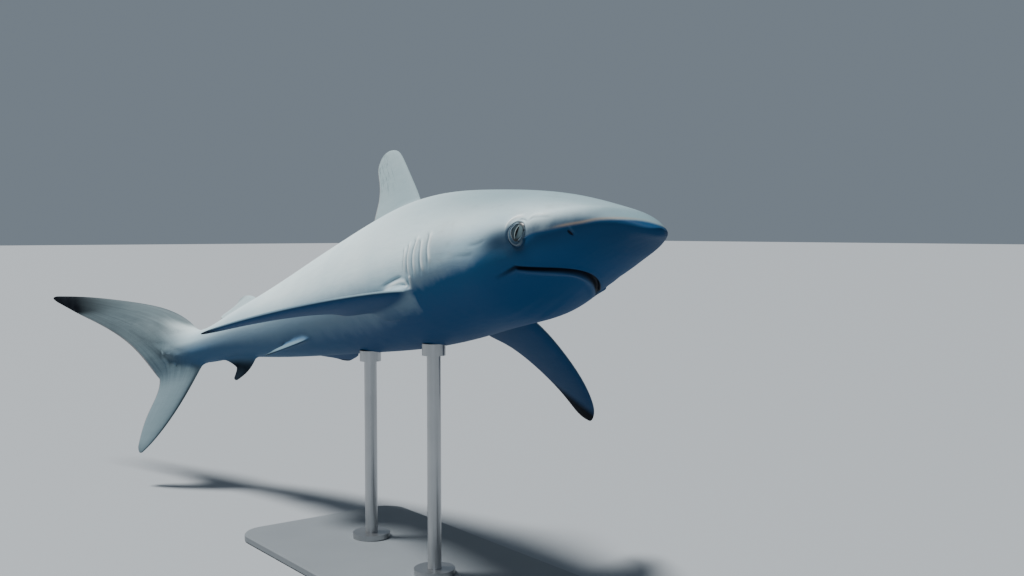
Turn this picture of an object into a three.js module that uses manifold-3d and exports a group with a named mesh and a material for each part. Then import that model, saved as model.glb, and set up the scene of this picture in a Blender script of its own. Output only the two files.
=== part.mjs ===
// A swimming silky shark, life size, held over a flat base by two short rods.
// Millimetres, +Z up, nose towards +X, origin under the middle of the base.
import * as THREE from 'three';
import { mergeVertices } from 'three/addons/utils/BufferGeometryUtils.js';
import Module from 'manifold-3d';

const wasm = await Module();
wasm.setup();

// ---- driving dimensions ----
const bodyLength = 1800; // snout tip to the tip of the upper tail lobe, along the axis
const gap = 0.3; // clearance between neighbouring pieces
const aroundBody = 28; // facets round the body
const aroundCore = 14; // facets round the thick core of the upper tail lobe
const headEnd = 0.245; // the head ends behind the last gill slit
const trunkEnd = 0.56; // the trunk ends behind the pelvic fins
const stemEnd = 0.775; // the tail stem ends inside the root of the tail fin
const coreEnd = 0.88; // the backbone's thick part runs out in the upper lobe

// Pose on the stand, in degrees, with the snout tip's place over the base.
const noseHeading = -5.779;
const nosePitch = 10.9;
const bankRoll = -8.603;
const snoutPlace = [610, -58, 516];

// How the axis turns along the body: share of the length, then radians.
const turnSideways = [[0, 0], [0.16, -0.0126], [0.32, -0.0384], [0.5, 0.1886],
  [0.68, 0.3128], [0.78, 0.5272], [1, 0.2801]];
const turnUpward = [[0, 0], [0.25, -0.0916], [0.55, 0.0935], [0.8, 0.1299], [1, 0.1299]];
const twistAlong = [[0, -0.08], [0.12, -0.06], [0.25, -0.0093], [0.75, -0.1328], [1, 0.1171]];

// Body outline in percent of the length: distance from the snout, top, bottom, half width.
const snoutStart = 0.25;
const bodyOutline = [
  [snoutStart, -0.42, -0.42, 0], [0.75, -0.04, -0.75, 0.85], [2.03, 0.86, -0.7, 1.87],
  [4, 1.69, -0.98, 2.95], [6.8, 2.68, -1.76, 3.75], [10, 3.6, -2.89, 4.4],
  [14, 4.45, -4.2, 4.98], [19, 5.24, -4.78, 5.52], [25, 5.91, -5.5, 5.8], [32, 6.15, -6, 5.42], [40, 5.93, -5.87, 4.72], [50, 4.98, -5.05, 3.72],
  [60, 3.6, -3.66, 2.68], [69, 2.28, -2.3, 1.82], [74.2, 1.85, -1.8, 1.36], [77.5, 3, -0.75, 1.05],
  [82, 5.1, 1.6, 0.72], [88, 7.1, 5, 0.4],
];

// Fins in percent of the length: leading edge and trailing edge, root to tip.
const firstDorsal = {
  lead: [[33.4, 5], [34.5, 6.9], [36.6, 9.15], [38.7, 11.4], [40.2, 12.65], [41.9, 13.1]],
  trail: [[41.5, 5], [43.4, 6.15], [42.95, 8.3], [43.1, 10.3], [43.55, 11.8], [42.9, 12.95]],
  thick: 0.95, rows: 11, columns: 7,
};
const secondDorsal = {
  lead: [[63.2, 2.4], [64.4, 3.6], [65.6, 4.15], [66.7, 4.35]],
  trail: [[67.5, 2], [70.6, 2.7], [68.6, 3.4], [67.5, 4.15]],
  thick: 0.5, rows: 8, columns: 6,
};
const analFin = {
  lead: [[62.6, -2.6], [63.8, -4.1], [65.2, -4.85], [66.3, -5.15]],
  trail: [[67, -1.8], [70.3, -1.8], [67, -3.1], [66.8, -4.85]],
  thick: 0.5, rows: 8, columns: 6,
};
const lowerLobe = {
  lead: [[72.2, -1.2], [74.2, -4], [76.6, -7], [79.4, -9.6], [81.7, -11]],
  trail: [[81.5, 0.2], [79.5, -3.2], [80.8, -6.3], [81.8, -8.6], [82.2, -10.3]],
  thick: 1.2, rows: 11, columns: 6,
};
const upperLobe = {
  lead: [[73.4, 1.1], [76, 3.5], [80.3, 5.8], [86.6, 7.8], [92.2, 9.3], [96.2, 10.25], [99.3, 10.95]],
  trail: [[78.6, -3.4], [80, -2.4], [84, 1.4], [88.9, 4.75], [93.2, 7.05], [95.6, 8.35], [99.5, 10.55]],
  thick: 1.3, rows: 12, columns: 7,
};
const finRimHalf = 0.4; // mm, so that no rim is a knife edge
const pectoralFin = {
  lead: [[0.4, -1.2], [-0.17, 1.88], [0.64, 5.18], [2.5, 8.9], [5.2, 12.2], [7.8, 13.85]],
  trail: [[5.4, -1.2], [9.06, 1.62], [7.67, 3.96], [7.42, 8.9], [8.4, 12.3], [8.25, 13.6]],
  thick: 1.3, rows: 16, columns: 8,
};
const pelvicFin = {
  lead: [[-0.2, -0.8], [0.4, 0.9], [1.8, 2.1], [3.2, 3]],
  trail: [[4, -0.8], [6, 0.9], [4.6, 2], [3.9, 2.9]],
  thick: 0.6, rows: 8, columns: 6,
};
// A paired fin's root (percent: back, out, up) and set (radians): droop at the root,
// droop gained along the fin, turn in its own plane, and tilt of the chord.
const pectoralRoot = [22.92, 4.35, -2.93];
const pectoralLeftSet = [0.558, 0.06, -0.035, 0.02];
const pectoralRightSet = [0.15, 0.19, -0.02, 0.14];
const pelvicRoot = [49.6, 2.1, -3.9];
const pelvicLeftSet = [0.12, 0.05, 0.28, -0.08];
const pelvicRightSet = [0.56, 0.05, 0.27, 0.03];

// Head details in percent of the length, or millimetres where the name says so.
const eyeCentre = [9.21, 0.03]; // back and up
const eyeRadius = 12; // mm, across the opening
const eyeDomeDepth = 6; // mm, half its depth
const eyeSink = 3; // mm, its middle lies this far inside the skin
const mouthFront = 7.5;
const mouthReach = 2.65; // from the front of the jaw to the corners
const mouthHalfWidth = 3.27;
const mouthBend = 2.3; // power of the curve that the mouth follows
const mouthHeight = -2.04; // of the corners
const jawBack = 16.5; // where the jaw's underside runs out
const gillSlits = [[19.45, -0.15], [20.4, -0.4], [21.3, -0.55], [22.15, -0.7], [23, -0.85]];
const gillHalfHeights = [0.9, 1, 1.03, 1, 0.85];
const gillWidth = 2; // mm
const gillDepth = 4; // mm
const nostrilPlace = [5.02, -0.46];
const nostrilSize = [4, 3, 2.4]; // mm, half lengths along, into and up the snout

// The stand.
const baseLength = 560;
const baseWidth = 300;
const baseThick = 12;
const baseCorner = 40;
const baseBevel = 2;
const rodRadius = 10;
const rodSocketDepth = 24;
const rodPlaces = { front: 0.29, rear: 0.42 }; // shares of the body length
const flangeRadius = 30;
const flangeThick = 8;
const collarRadius = 17;
const collarDrop = 14; // how far the collar shows under the belly

// ---- materials ----
const finish = (color, roughness, metalness = 0) =>
  new THREE.MeshStandardMaterial({ color, roughness, metalness });
const skinGrey = '#a9b4b5';
const skinPale = '#9fb0bd';
const finGrey = '#8d9aa0';
const finDark = '#4c5a66';
const eyeBlack = '#20262c';
const steelGrey = '#9a9da0';
const baseGrey = '#acb0b4';

// ---- curves ----
// Natural cubic through the knots, solved from the knot slopes' second differences.
function spline(knots, values) {
  const n = knots.length;
  const step = knots.slice(1).map((k, i) => k - knots[i]);
  const upper = new Array(n).fill(0);
  const bend = new Array(n).fill(0);
  for (let i = 1; i < n - 1; i++) {
    const rise = (values[i + 1] - values[i]) / step[i] - (values[i] - values[i - 1]) / step[i - 1];
    const pivot = 2 * (step[i - 1] + step[i]) - step[i - 1] * upper[i - 1];
    upper[i] = step[i] / pivot;
    bend[i] = (6 * rise - step[i - 1] * bend[i - 1]) / pivot;
  }
  for (let i = n - 2; i > 0; i--) bend[i] -= upper[i] * bend[i + 1];
  return (x) => {
    let k = 0;
    while (k < n - 2 && x >= knots[k + 1]) k++;
    const b = (x - knots[k]) / step[k];
    const a = 1 - b;
    const curve = ((a ** 3 - a) * bend[k] + (b ** 3 - b) * bend[k + 1]) * step[k] ** 2 / 6;
    return a * values[k] + b * values[k + 1] + curve;
  };
}

// Monotone cubic through [place, value] pairs, so the axis never turns back on itself.
function monotone(pairs) {
  const x = pairs.map((p) => p[0]);
  const y = pairs.map((p) => p[1]);
  const h = x.slice(1).map((v, i) => v - x[i]);
  const d = h.map((v, i) => (y[i + 1] - y[i]) / v);
  const slope = x.map((_, i) => {
    if (i === 0) return d[0];
    if (i === x.length - 1) return d[i - 1];
    if (d[i - 1] * d[i] <= 0) return 0;
    const w1 = 2 * h[i] + h[i - 1];
    const w2 = h[i] + 2 * h[i - 1];
    return (w1 + w2) / (w1 / d[i - 1] + w2 / d[i]);
  });
  return (at) => {
    let k = 0;
    while (k < h.length - 1 && at >= x[k + 1]) k++;
    const t = Math.min(1, Math.max(0, (at - x[k]) / h[k]));
    return y[k] * (1 + 2 * t) * (1 - t) ** 2 + h[k] * slope[k] * t * (1 - t) ** 2
      + y[k + 1] * t * t * (3 - 2 * t) + h[k] * slope[k + 1] * t * t * (t - 1);
  };
}

const ease = (low, high, x) => {
  const t = Math.min(1, Math.max(0, (x - low) / (high - low)));
  return t * t * (3 - 2 * t);
};

// ---- body sections ----
const outlineKnots = bodyOutline.map((r) => Math.sqrt((r[0] - snoutStart) / 100));
const [topCurve, bottomCurve, widthCurve] = [1, 2, 3].map((k) =>
  spline(outlineKnots, bodyOutline.map((r) => r[k] / 100)));

// Half width and heights of the section at share s; the widest line dips on the snout.
function profile(s) {
  const u = Math.sqrt(Math.max(0, s - snoutStart / 100));
  const top = topCurve(u);
  const bottom = bottomCurve(u);
  const dip = 0.04 * ease(0, 0.03, s) * (1 - ease(0.08, 0.16, s));
  const middle = bottom + (top - bottom) * (0.47 - dip);
  return { top, bottom, middle, half: Math.max(widthCurve(u), 0) };
}

// A point of the section: crisp side edges and a flat underside on the snout, oval behind.
function sectionPoint(s, angle, grow = 0) {
  const p = profile(s);
  const up = Math.sin(angle);
  const power = up > 0 ? 1 + 0.2 * (1 - ease(0, 0.12, s)) : 1 - 0.2 * (1 - ease(0.02, 0.14, s));
  const reach = up > 0 ? p.top - p.middle : p.middle - p.bottom;
  const z = p.middle * bodyLength + Math.sign(up) * (reach * bodyLength + grow) * Math.abs(up) ** power;
  return [-s * bodyLength, (p.half * bodyLength + grow) * Math.cos(angle), z];
}

// Half width of the body at share s and height z (share of the length).
function halfWidthAt(s, z) {
  const p = profile(s);
  const above = z > p.middle;
  const power = above ? 1 + 0.2 * (1 - ease(0, 0.12, s)) : 1 - 0.2 * (1 - ease(0.02, 0.14, s));
  const q = Math.min(1, (above ? (z - p.middle) / (p.top - p.middle)
    : (p.middle - z) / (p.middle - p.bottom)));
  return p.half * Math.sqrt(1 - q ** (2 / power));
}

// ---- closed solids ----
// Six times the volume that the triangles enclose, negative when they face inwards.
function signedVolume(points, triangles) {
  return triangles.reduce((sum, [a, b, c]) => {
    const [p, q, r] = [points[a], points[b], points[c]];
    return sum + p[0] * (q[1] * r[2] - q[2] * r[1]) + p[1] * (q[2] * r[0] - q[0] * r[2])
      + p[2] * (q[0] * r[1] - q[1] * r[0]);
  }, 0);
}

function closedSolid(points, triangles) {
  const outward = signedVolume(points, triangles) > 0 ? triangles : triangles.map(([a, b, c]) => [a, c, b]);
  const mesh = new wasm.Mesh({
    numProp: 3, vertProperties: new Float32Array(points.flat()), triVerts: new Uint32Array(outward.flat()),
  });
  return new wasm.Manifold(mesh);
}

// Rings of equal count joined in order, with a fan over each end.
function loft(rings) {
  const count = rings[0].length;
  const points = rings.flat();
  const triangles = [];
  for (let i = 0; i < rings.length - 1; i++) {
    for (let j = 0; j < count; j++) {
      const k = (j + 1) % count;
      triangles.push([i * count + j, (i + 1) * count + j, i * count + k]);
      triangles.push([(i + 1) * count + j, (i + 1) * count + k, i * count + k]);
    }
  }
  const centre = (ring) => [0, 1, 2].map((c) => ring.reduce((t, p) => t + p[c], 0) / count);
  const first = points.push(centre(rings[0])) - 1;
  const last = points.push(centre(rings[rings.length - 1])) - 1;
  const offset = (rings.length - 1) * count;
  for (let j = 0; j < count; j++) {
    const k = (j + 1) % count;
    triangles.push([first, j, k], [last, offset + k, offset + j]);
  }
  return closedSolid(points, triangles);
}

// A stretch of the body between two shares of the length.
function bodyStretch(from, to, steps, grow = 0, around = aroundBody) {
  const tip = snoutStart / 100;
  const start = Math.sqrt(Math.max(from - tip, 0.00004));
  const end = Math.sqrt(to - tip);
  const rings = [];
  for (let i = 0; i <= steps; i++) {
    const s = tip + (start + (end - start) * i / steps) ** 2;
    rings.push(Array.from({ length: around }, (_, j) =>
      sectionPoint(s, 2 * Math.PI * (j + 0.5) / around, grow)));
  }
  return loft(rings);
}

// A fin as rows of foil sections from root to tip; set() lays a point (back, out, sideways).
function finSolid(fin, set) {
  const knots = fin.lead.map((_, i) => i / (fin.lead.length - 1));
  const [leadX, leadH] = [0, 1].map((k) => spline(knots, fin.lead.map((p) => p[k] / 100)));
  const [trailX, trailH] = [0, 1].map((k) => spline(knots, fin.trail.map((p) => p[k] / 100)));
  const rings = [];
  for (let i = 0; i < fin.rows; i++) {
    const q = 1 - (1 - i / (fin.rows - 1)) ** 1.5;
    const half = fin.thick / 200 * bodyLength * Math.sqrt(1 - q) * (1 - 0.35 * q);
    const ring = [];
    const sidePoint = (j, side) => {
      const c = (1 - Math.cos(Math.PI * j / (fin.columns - 1))) / 2;
      const foil = 1.9 * Math.sqrt(c) * (1 - c) ** 0.9;
      const back = (leadX(q) + (trailX(q) - leadX(q)) * c) * bodyLength;
      const out = (leadH(q) + (trailH(q) - leadH(q)) * c) * bodyLength;
      ring.push(set(back, out, side * (half * foil + finRimHalf)));
    };
    for (let j = 0; j < fin.columns; j++) sidePoint(j, 1);
    for (let j = fin.columns - 1; j >= 0; j--) sidePoint(j, -1);
    rings.push(ring);
  }
  return loft(rings);
}

// Fins on the middle plane.
const onMiddle = (back, out, aside) => [-back, aside, out];

// A paired fin on side +1 (left) or -1 (right), drooping along its span.
function onSide(root, [droop, gain, turn, tilt], side) {
  const pivot = 0.03 * bodyLength;
  const span = 0.15 * bodyLength;
  const [rootBack, rootOut, rootUp] = root.map((v) => v / 100 * bodyLength);
  return (back, out, thick) => {
    const x = pivot + (back - pivot) * Math.cos(turn) + out * Math.sin(turn);
    const h = out * Math.cos(turn) - (back - pivot) * Math.sin(turn);
    const share = Math.min(1, Math.max(0, h / span));
    const mean = droop + gain * share / 2;
    const local = droop + gain * share;
    return [-(rootBack + x), side * (rootOut + h * Math.cos(mean) + thick * Math.sin(local)),
      rootUp - h * Math.sin(mean) + thick * Math.cos(local) - (x - pivot) * Math.tan(tilt)];
  };
}

// ---- the bent axis ----
const axisSteps = 220;
const axisReach = 1.1;
const turn = monotone(turnSideways);
const rise = monotone(turnUpward);
const twist = monotone(twistAlong);
const axis = [];
for (let i = 0; i <= axisSteps; i++) {
  const s = axisReach * i / axisSteps;
  const [a, b, t] = [turn(s), rise(s), twist(s)];
  const forward = new THREE.Vector3(Math.cos(a) * Math.cos(b), Math.sin(a) * Math.cos(b), Math.sin(b));
  const side = new THREE.Vector3(-Math.sin(a), Math.cos(a), 0);
  const left = side.clone().multiplyScalar(Math.cos(t))
    .addScaledVector(forward.clone().cross(side), Math.sin(t));
  const up = forward.clone().cross(left);
  const before = axis[i - 1];
  const place = new THREE.Vector3();
  if (before) {
    const half = -bodyLength * axisReach / axisSteps / 2;
    place.copy(before.place).addScaledVector(before.forward, half).addScaledVector(forward, half);
  }
  axis.push({ place, forward, left, up });
}
const standing = new THREE.Matrix4().makeTranslation(...snoutPlace)
  .multiply(new THREE.Matrix4().makeRotationZ(THREE.MathUtils.degToRad(noseHeading)))
  .multiply(new THREE.Matrix4().makeRotationY(-THREE.MathUtils.degToRad(nosePitch)))
  .multiply(new THREE.Matrix4().makeRotationX(THREE.MathUtils.degToRad(bankRoll)));

// Straight-shark millimetres to the posed shark on its stand.
function posed([x, y, z]) {
  const at = Math.max(0, -x / bodyLength) * axisSteps / axisReach;
  const i = Math.min(axisSteps - 1, Math.floor(at));
  const t = at - i;
  const mix = (key) => axis[i][key].clone().lerp(axis[i + 1][key], t);
  const ahead = mix('forward').multiplyScalar(Math.max(0, x));
  return mix('place').add(ahead).addScaledVector(mix('left'), y).addScaledVector(mix('up'), z)
    .applyMatrix4(standing);
}
const poseSolid = (solid) => solid.warp((v) => {
  const p = posed([v[0], v[1], v[2]]);
  v[0] = p.x;
  v[1] = p.y;
  v[2] = p.z;
});

// ---- head tools ----
// Ellipsoid on the body's side, its short axis along the skin's outward direction.
function sideEllipsoid([backPercent, upPercent], side, [along, deep, high], sink, detail) {
  const s = backPercent / 100;
  const z = upPercent / 100;
  const delta = 0.004;
  const at = (ds, dz) => new THREE.Vector3(-(s + ds) * bodyLength,
    side * halfWidthAt(s + ds, z + dz) * bodyLength, (z + dz) * bodyLength);
  const ahead = at(-delta, 0).sub(at(delta, 0)).normalize();
  const above = at(0, delta).sub(at(0, -delta)).normalize();
  const outward = ahead.clone().cross(above).multiplyScalar(-side).normalize();
  const level = above.clone().cross(outward).normalize();
  const centre = at(0, 0).addScaledVector(outward, -sink);
  const frame = new THREE.Matrix4().makeBasis(
    level.multiplyScalar(along), outward.clone().multiplyScalar(deep), above.multiplyScalar(high));
  frame.setPosition(centre);
  const ball = new THREE.SphereGeometry(1, detail, Math.round(detail * 0.6));
  ball.rotateX(Math.PI / 2);
  ball.deleteAttribute('normal');
  ball.deleteAttribute('uv');
  ball.applyMatrix4(frame);
  const merged = mergeVertices(ball, 1e-4);
  const place = merged.attributes.position;
  const points = Array.from({ length: place.count }, (_, i) => [place.getX(i), place.getY(i), place.getZ(i)]);
  const index = Array.from(merged.index.array);
  const triangles = [];
  for (let i = 0; i < index.length; i += 3) {
    const [a, b, c] = index.slice(i, i + 3);
    if (a !== b && b !== c && a !== c) triangles.push([a, b, c]);
  }
  return closedSolid(points, triangles);
}

// The block that holds the lower jaw: a rounded front, and a top that slopes down backwards.
function jawBlock(grow) {
  const rows = [];
  const steps = 14;
  for (let i = 0; i <= steps; i++) {
    const t = 0.04 + 0.96 * i / steps;
    const back = mouthFront + mouthReach * t ** mouthBend;
    rows.push([back, mouthHalfWidth * t, mouthHeight + 0.3 * (1 - t ** mouthBend)]);
  }
  const corner = mouthFront + mouthReach;
  rows.push([corner + 0.1, 7, mouthHeight], [corner + 2, 7, mouthHeight - 0.35], [jawBack, 7, -5.6]);
  const floor = -10;
  const size = bodyLength / 100;
  return loft(rows.map(([back, half, top]) => {
    const x = -back * size + grow;
    const y = half * size + grow;
    const z = top * size + grow;
    return [[x, -y, z], [x, y, z], [x, y, floor * size], [x, -y, floor * size]];
  }));
}

// Solid cut clear of a neighbour: the neighbour is taken away at six small shifts.
function clearOf(solid, neighbour) {
  const shifts = [[gap, 0, 0], [-gap, 0, 0], [0, gap, 0], [0, -gap, 0], [0, 0, gap], [0, 0, -gap]];
  return shifts.reduce((left, shift) => left.subtract(neighbour.translate(shift)), solid);
}

// ---- build the shark ----
const grownBody = bodyStretch(0, stemEnd + 0.0002, 48, gap);
const halfGap = gap / 2 / bodyLength;
const lowerJawBlock = jawBlock(0);
const wholeHead = bodyStretch(0, headEnd - halfGap, 18);

const eyeShape = (grow) => [eyeRadius + grow, eyeDomeDepth + grow, eyeRadius + grow];
const eyes = [1, -1].map((side) => sideEllipsoid(eyeCentre, side, eyeShape(0), eyeSink, 14));
const eyeSockets = [1, -1].map((side) => sideEllipsoid(eyeCentre, side, eyeShape(gap), eyeSink, 14));
const nostrils = [1, -1].map((side) => sideEllipsoid(nostrilPlace, side, nostrilSize, 1, 8));
const gills = [1, -1].flatMap((side) => gillSlits.map((place, i) =>
  sideEllipsoid(place, side, [gillWidth / 2, gillDepth, gillHalfHeights[i] / 100 * bodyLength], 0, 6)));

const lowerJaw = wholeHead.intersect(lowerJawBlock);
const head = [...eyeSockets, ...nostrils, ...gills].reduce((solid, tool) => solid.subtract(tool),
  wholeHead.subtract(jawBlock(gap)));
const trunk = bodyStretch(headEnd + halfGap, trunkEnd - halfGap, 12);
const tailStem = bodyStretch(trunkEnd + halfGap, stemEnd, 9);

const middleFin = (fin) => finSolid(fin, onMiddle).subtract(grownBody);
const pairedFin = (fin, root, set, side) =>
  finSolid(fin, onSide(root, set, side)).subtract(grownBody);
const core = bodyStretch(stemEnd - 0.01, coreEnd, 7, 0, aroundCore);
const upper = clearOf(finSolid(upperLobe, onMiddle).add(core), tailStem);
const lower = clearOf(clearOf(finSolid(lowerLobe, onMiddle), tailStem), upper);

// ---- the stand ----
const cylinder = (radius, from, to, x, y, sides = 24) =>
  wasm.Manifold.cylinder(to - from, radius, radius, sides).translate([x, y, from]);
const bellyPoint = (s) => posed([-s * bodyLength, 0, profile(s).bottom * bodyLength]);
const posedTrunk = poseSolid(trunk);
const posedGrownBody = poseSolid(grownBody);
const rods = {};
for (const [name, s] of Object.entries(rodPlaces)) {
  const belly = bellyPoint(s);
  const top = belly.z + rodSocketDepth;
  const foot = baseThick + gap;
  const rod = cylinder(rodRadius, foot, top, belly.x, belly.y);
  const rodGrown = cylinder(rodRadius + gap, 0, top + gap, belly.x, belly.y);
  const flange = cylinder(flangeRadius, foot, foot + flangeThick, belly.x, belly.y, 32).subtract(rodGrown);
  const collar = cylinder(collarRadius, belly.z - collarDrop, belly.z + 3, belly.x, belly.y)
    .subtract(rodGrown).subtract(posedGrownBody);
  rods[name] = { rod, rodGrown, flange, collar };
}
const rodSockets = Object.values(rods).map((r) => r.rodGrown);
const drilledTrunk = rodSockets.reduce((solid, tool) => solid.subtract(tool), posedTrunk);

function basePlate() {
  const [x, y, r] = [baseLength / 2 - baseBevel, baseWidth / 2 - baseBevel, baseCorner];
  const outline = new THREE.Shape();
  outline.moveTo(-x + r, -y);
  outline.lineTo(x - r, -y);
  outline.absarc(x - r, -y + r, r, -Math.PI / 2, 0);
  outline.lineTo(x, y - r);
  outline.absarc(x - r, y - r, r, 0, Math.PI / 2);
  outline.lineTo(-x + r, y);
  outline.absarc(-x + r, y - r, r, Math.PI / 2, Math.PI);
  outline.lineTo(-x, -y + r);
  outline.absarc(-x + r, -y + r, r, Math.PI, 1.5 * Math.PI);
  const plate = new THREE.ExtrudeGeometry(outline, {
    depth: baseThick - 2 * baseBevel, bevelThickness: baseBevel, bevelSize: baseBevel,
    bevelSegments: 1, curveSegments: 6,
  });
  plate.translate(0, 0, baseBevel);
  return plate;
}

// ---- the named pieces ----
const group = new THREE.Group();
group.name = 'silky_shark';

function addMesh(name, geometry, material) {
  const mesh = new THREE.Mesh(geometry, material);
  mesh.name = name;
  group.add(mesh);
}

// The largest connected piece of a solid, as a plain triangle mesh.
function addSolid(name, solid, material) {
  const largest = solid.decompose().sort((a, b) => b.volume() - a.volume())[0];
  const { vertProperties, triVerts } = largest.getMesh();
  const geometry = new THREE.BufferGeometry();
  geometry.setAttribute('position', new THREE.BufferAttribute(new Float32Array(vertProperties), 3));
  geometry.setIndex(new THREE.BufferAttribute(new Uint32Array(triVerts), 1));
  geometry.computeVertexNormals();
  addMesh(name, geometry, material);
}

addSolid('head', poseSolid(head), finish(skinGrey, 0.5));
addSolid('lower_jaw', poseSolid(lowerJaw), finish(skinPale, 0.5));
addSolid('trunk', drilledTrunk, finish(skinGrey, 0.5));
addSolid('tail_stem', poseSolid(tailStem), finish(skinGrey, 0.5));
addSolid('eye_left', poseSolid(eyes[0]), finish(eyeBlack, 0.12));
addSolid('eye_right', poseSolid(eyes[1]), finish(eyeBlack, 0.12));
addSolid('first_dorsal_fin', poseSolid(middleFin(firstDorsal)), finish(finGrey, 0.55));
addSolid('second_dorsal_fin', poseSolid(middleFin(secondDorsal)), finish(finGrey, 0.55));
addSolid('anal_fin', poseSolid(middleFin(analFin)), finish(finDark, 0.55));
addSolid('pectoral_fin_left', poseSolid(pairedFin(pectoralFin, pectoralRoot, pectoralLeftSet, 1)),
  finish(finDark, 0.55));
addSolid('pectoral_fin_right', poseSolid(pairedFin(pectoralFin, pectoralRoot, pectoralRightSet, -1)),
  finish(finDark, 0.55));
addSolid('pelvic_fin_left', poseSolid(pairedFin(pelvicFin, pelvicRoot, pelvicLeftSet, 1)),
  finish(finDark, 0.55));
addSolid('pelvic_fin_right', poseSolid(pairedFin(pelvicFin, pelvicRoot, pelvicRightSet, -1)),
  finish(finDark, 0.55));
addSolid('caudal_fin_upper', poseSolid(upper), finish(finGrey, 0.55));
addSolid('caudal_fin_lower', poseSolid(lower), finish(finGrey, 0.55));

addMesh('stand_base', basePlate(), finish(baseGrey, 0.45, 0.3));
for (const [name, { rod, flange, collar }] of Object.entries(rods)) {
  addSolid(`stand_rod_${name}`, rod, finish(steelGrey, 0.3, 1));
  addSolid(`stand_flange_${name}`, flange, finish(steelGrey, 0.35, 1));
  addSolid(`stand_collar_${name}`, collar, finish(steelGrey, 0.35, 1));
}

export default group;
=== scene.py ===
# A life-size silky shark swimming over a display stand: skin, eyes and stand surfaces on the CAD frame.
from types import SimpleNamespace

import bpy
import numpy as np
from mathutils import Matrix, Vector


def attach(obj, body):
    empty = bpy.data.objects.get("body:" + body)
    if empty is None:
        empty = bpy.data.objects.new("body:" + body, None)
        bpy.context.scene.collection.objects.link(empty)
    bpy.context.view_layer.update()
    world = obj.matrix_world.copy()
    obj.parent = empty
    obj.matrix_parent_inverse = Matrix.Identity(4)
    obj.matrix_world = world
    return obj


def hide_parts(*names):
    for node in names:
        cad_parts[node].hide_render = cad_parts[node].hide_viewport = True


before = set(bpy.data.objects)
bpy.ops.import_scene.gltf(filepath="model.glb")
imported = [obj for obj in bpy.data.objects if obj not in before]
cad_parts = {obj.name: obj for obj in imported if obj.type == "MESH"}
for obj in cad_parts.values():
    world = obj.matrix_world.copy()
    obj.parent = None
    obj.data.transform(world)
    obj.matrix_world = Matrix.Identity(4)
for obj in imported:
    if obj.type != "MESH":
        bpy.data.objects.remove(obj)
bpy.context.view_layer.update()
scene = bpy.context.scene
print("shark: frame loaded")

shot = {
    "place": (1.39891, -0.85063, 0.50496),  # metres
    "view": (-0.79613, 0.60285, -0.05234), "up": (-0.04172, 0.03159, 0.99863),
    "focalPixels": 1081.45, "imageWidth": 1024,
    "sensor": 36.0, "clipStart": 0.05,
}


# Lens from the focal length in pixels over the image's width; side is view across up.
def aimCamera(spec):
    data = bpy.data.cameras.new("camera")
    data.sensor_width = spec["sensor"]
    data.lens = spec["focalPixels"] / spec["imageWidth"] * spec["sensor"]
    data.clip_start = spec["clipStart"]
    camera = bpy.data.objects.new("camera", data)
    view, up = Vector(spec["view"]).normalized(), Vector(spec["up"])
    camera.location = spec["place"]
    camera.rotation_mode = "QUATERNION"
    side = view.cross(up).normalized()
    camera.rotation_quaternion = Matrix((side, side.cross(view), -view)).transposed().to_quaternion()
    scene.collection.objects.link(camera)
    scene.camera = camera


aimCamera(shot)


# Natural cubic through the knots: the second derivatives solve one linear system.
def spline(knots, values):
    knots, values = np.asarray(knots, float), np.asarray(values, float)
    count, step = len(knots), np.diff(knots)
    system, right = np.eye(count), np.zeros(count)
    inner = np.arange(1, count - 1)
    system[inner, inner - 1] = step[:-1]
    system[inner, inner] = 2 * (step[:-1] + step[1:])
    system[inner, inner + 1] = step[1:]
    right[inner] = 6 * np.diff(np.diff(values) / step)
    bend = np.linalg.solve(system, right)

    def curve(x):
        x = np.asarray(x, float)
        k = np.clip(np.searchsorted(knots, x, side="right") - 1, 0, count - 2)
        b = (x - knots[k]) / step[k]
        a = 1 - b
        cubic = (a**3 - a) * bend[k] + (b**3 - b) * bend[k + 1]
        return a * values[k] + b * values[k + 1] + cubic * step[k] ** 2 / 6

    return curve


# Monotone cubic through (place, value) pairs: harmonic mean slopes, flat beyond the ends.
def monotone(pairs):
    x, y = np.array(pairs, float).T
    h = np.diff(x)
    d = np.diff(y) / h
    w1, w2 = 2 * h[1:] + h[:-1], h[1:] + 2 * h[:-1]
    same = d[:-1] * d[1:] > 0  # the slopes on both sides of the knot have one sign
    weighted = np.where(same, w1 * d[1:] + w2 * d[:-1], 1)
    inner = np.where(same, (w1 + w2) * d[:-1] * d[1:] / weighted, 0)
    slope = np.concatenate([[d[0]], inner, [d[-1]]])

    def curve(at):
        at = np.asarray(at, float)
        k = np.clip(np.searchsorted(x, at, side="right") - 1, 0, len(h) - 1)
        t = np.clip((at - x[k]) / h[k], 0, 1)
        return (y[k] * (1 + 2 * t) * (1 - t) ** 2 + h[k] * slope[k] * t * (1 - t) ** 2
                + y[k + 1] * t * t * (3 - 2 * t) + h[k] * slope[k + 1] * t * t * (t - 1))

    return curve


def ease(low, high, x):  # 0 below low, 1 above high, 3 t squared - 2 t cubed between
    t = np.clip((np.asarray(x, float) - low) / (high - low), 0, 1)
    return t * t * (3 - 2 * t)


def bell(x, width):  # 1 at zero, e to the minus square of x over the width
    return np.exp(-(np.asarray(x, float) / width) ** 2)


def atLeast(low, x):  # from low where x is 0 to 1 where x is 1
    return low + (1 - low) * x


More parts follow.
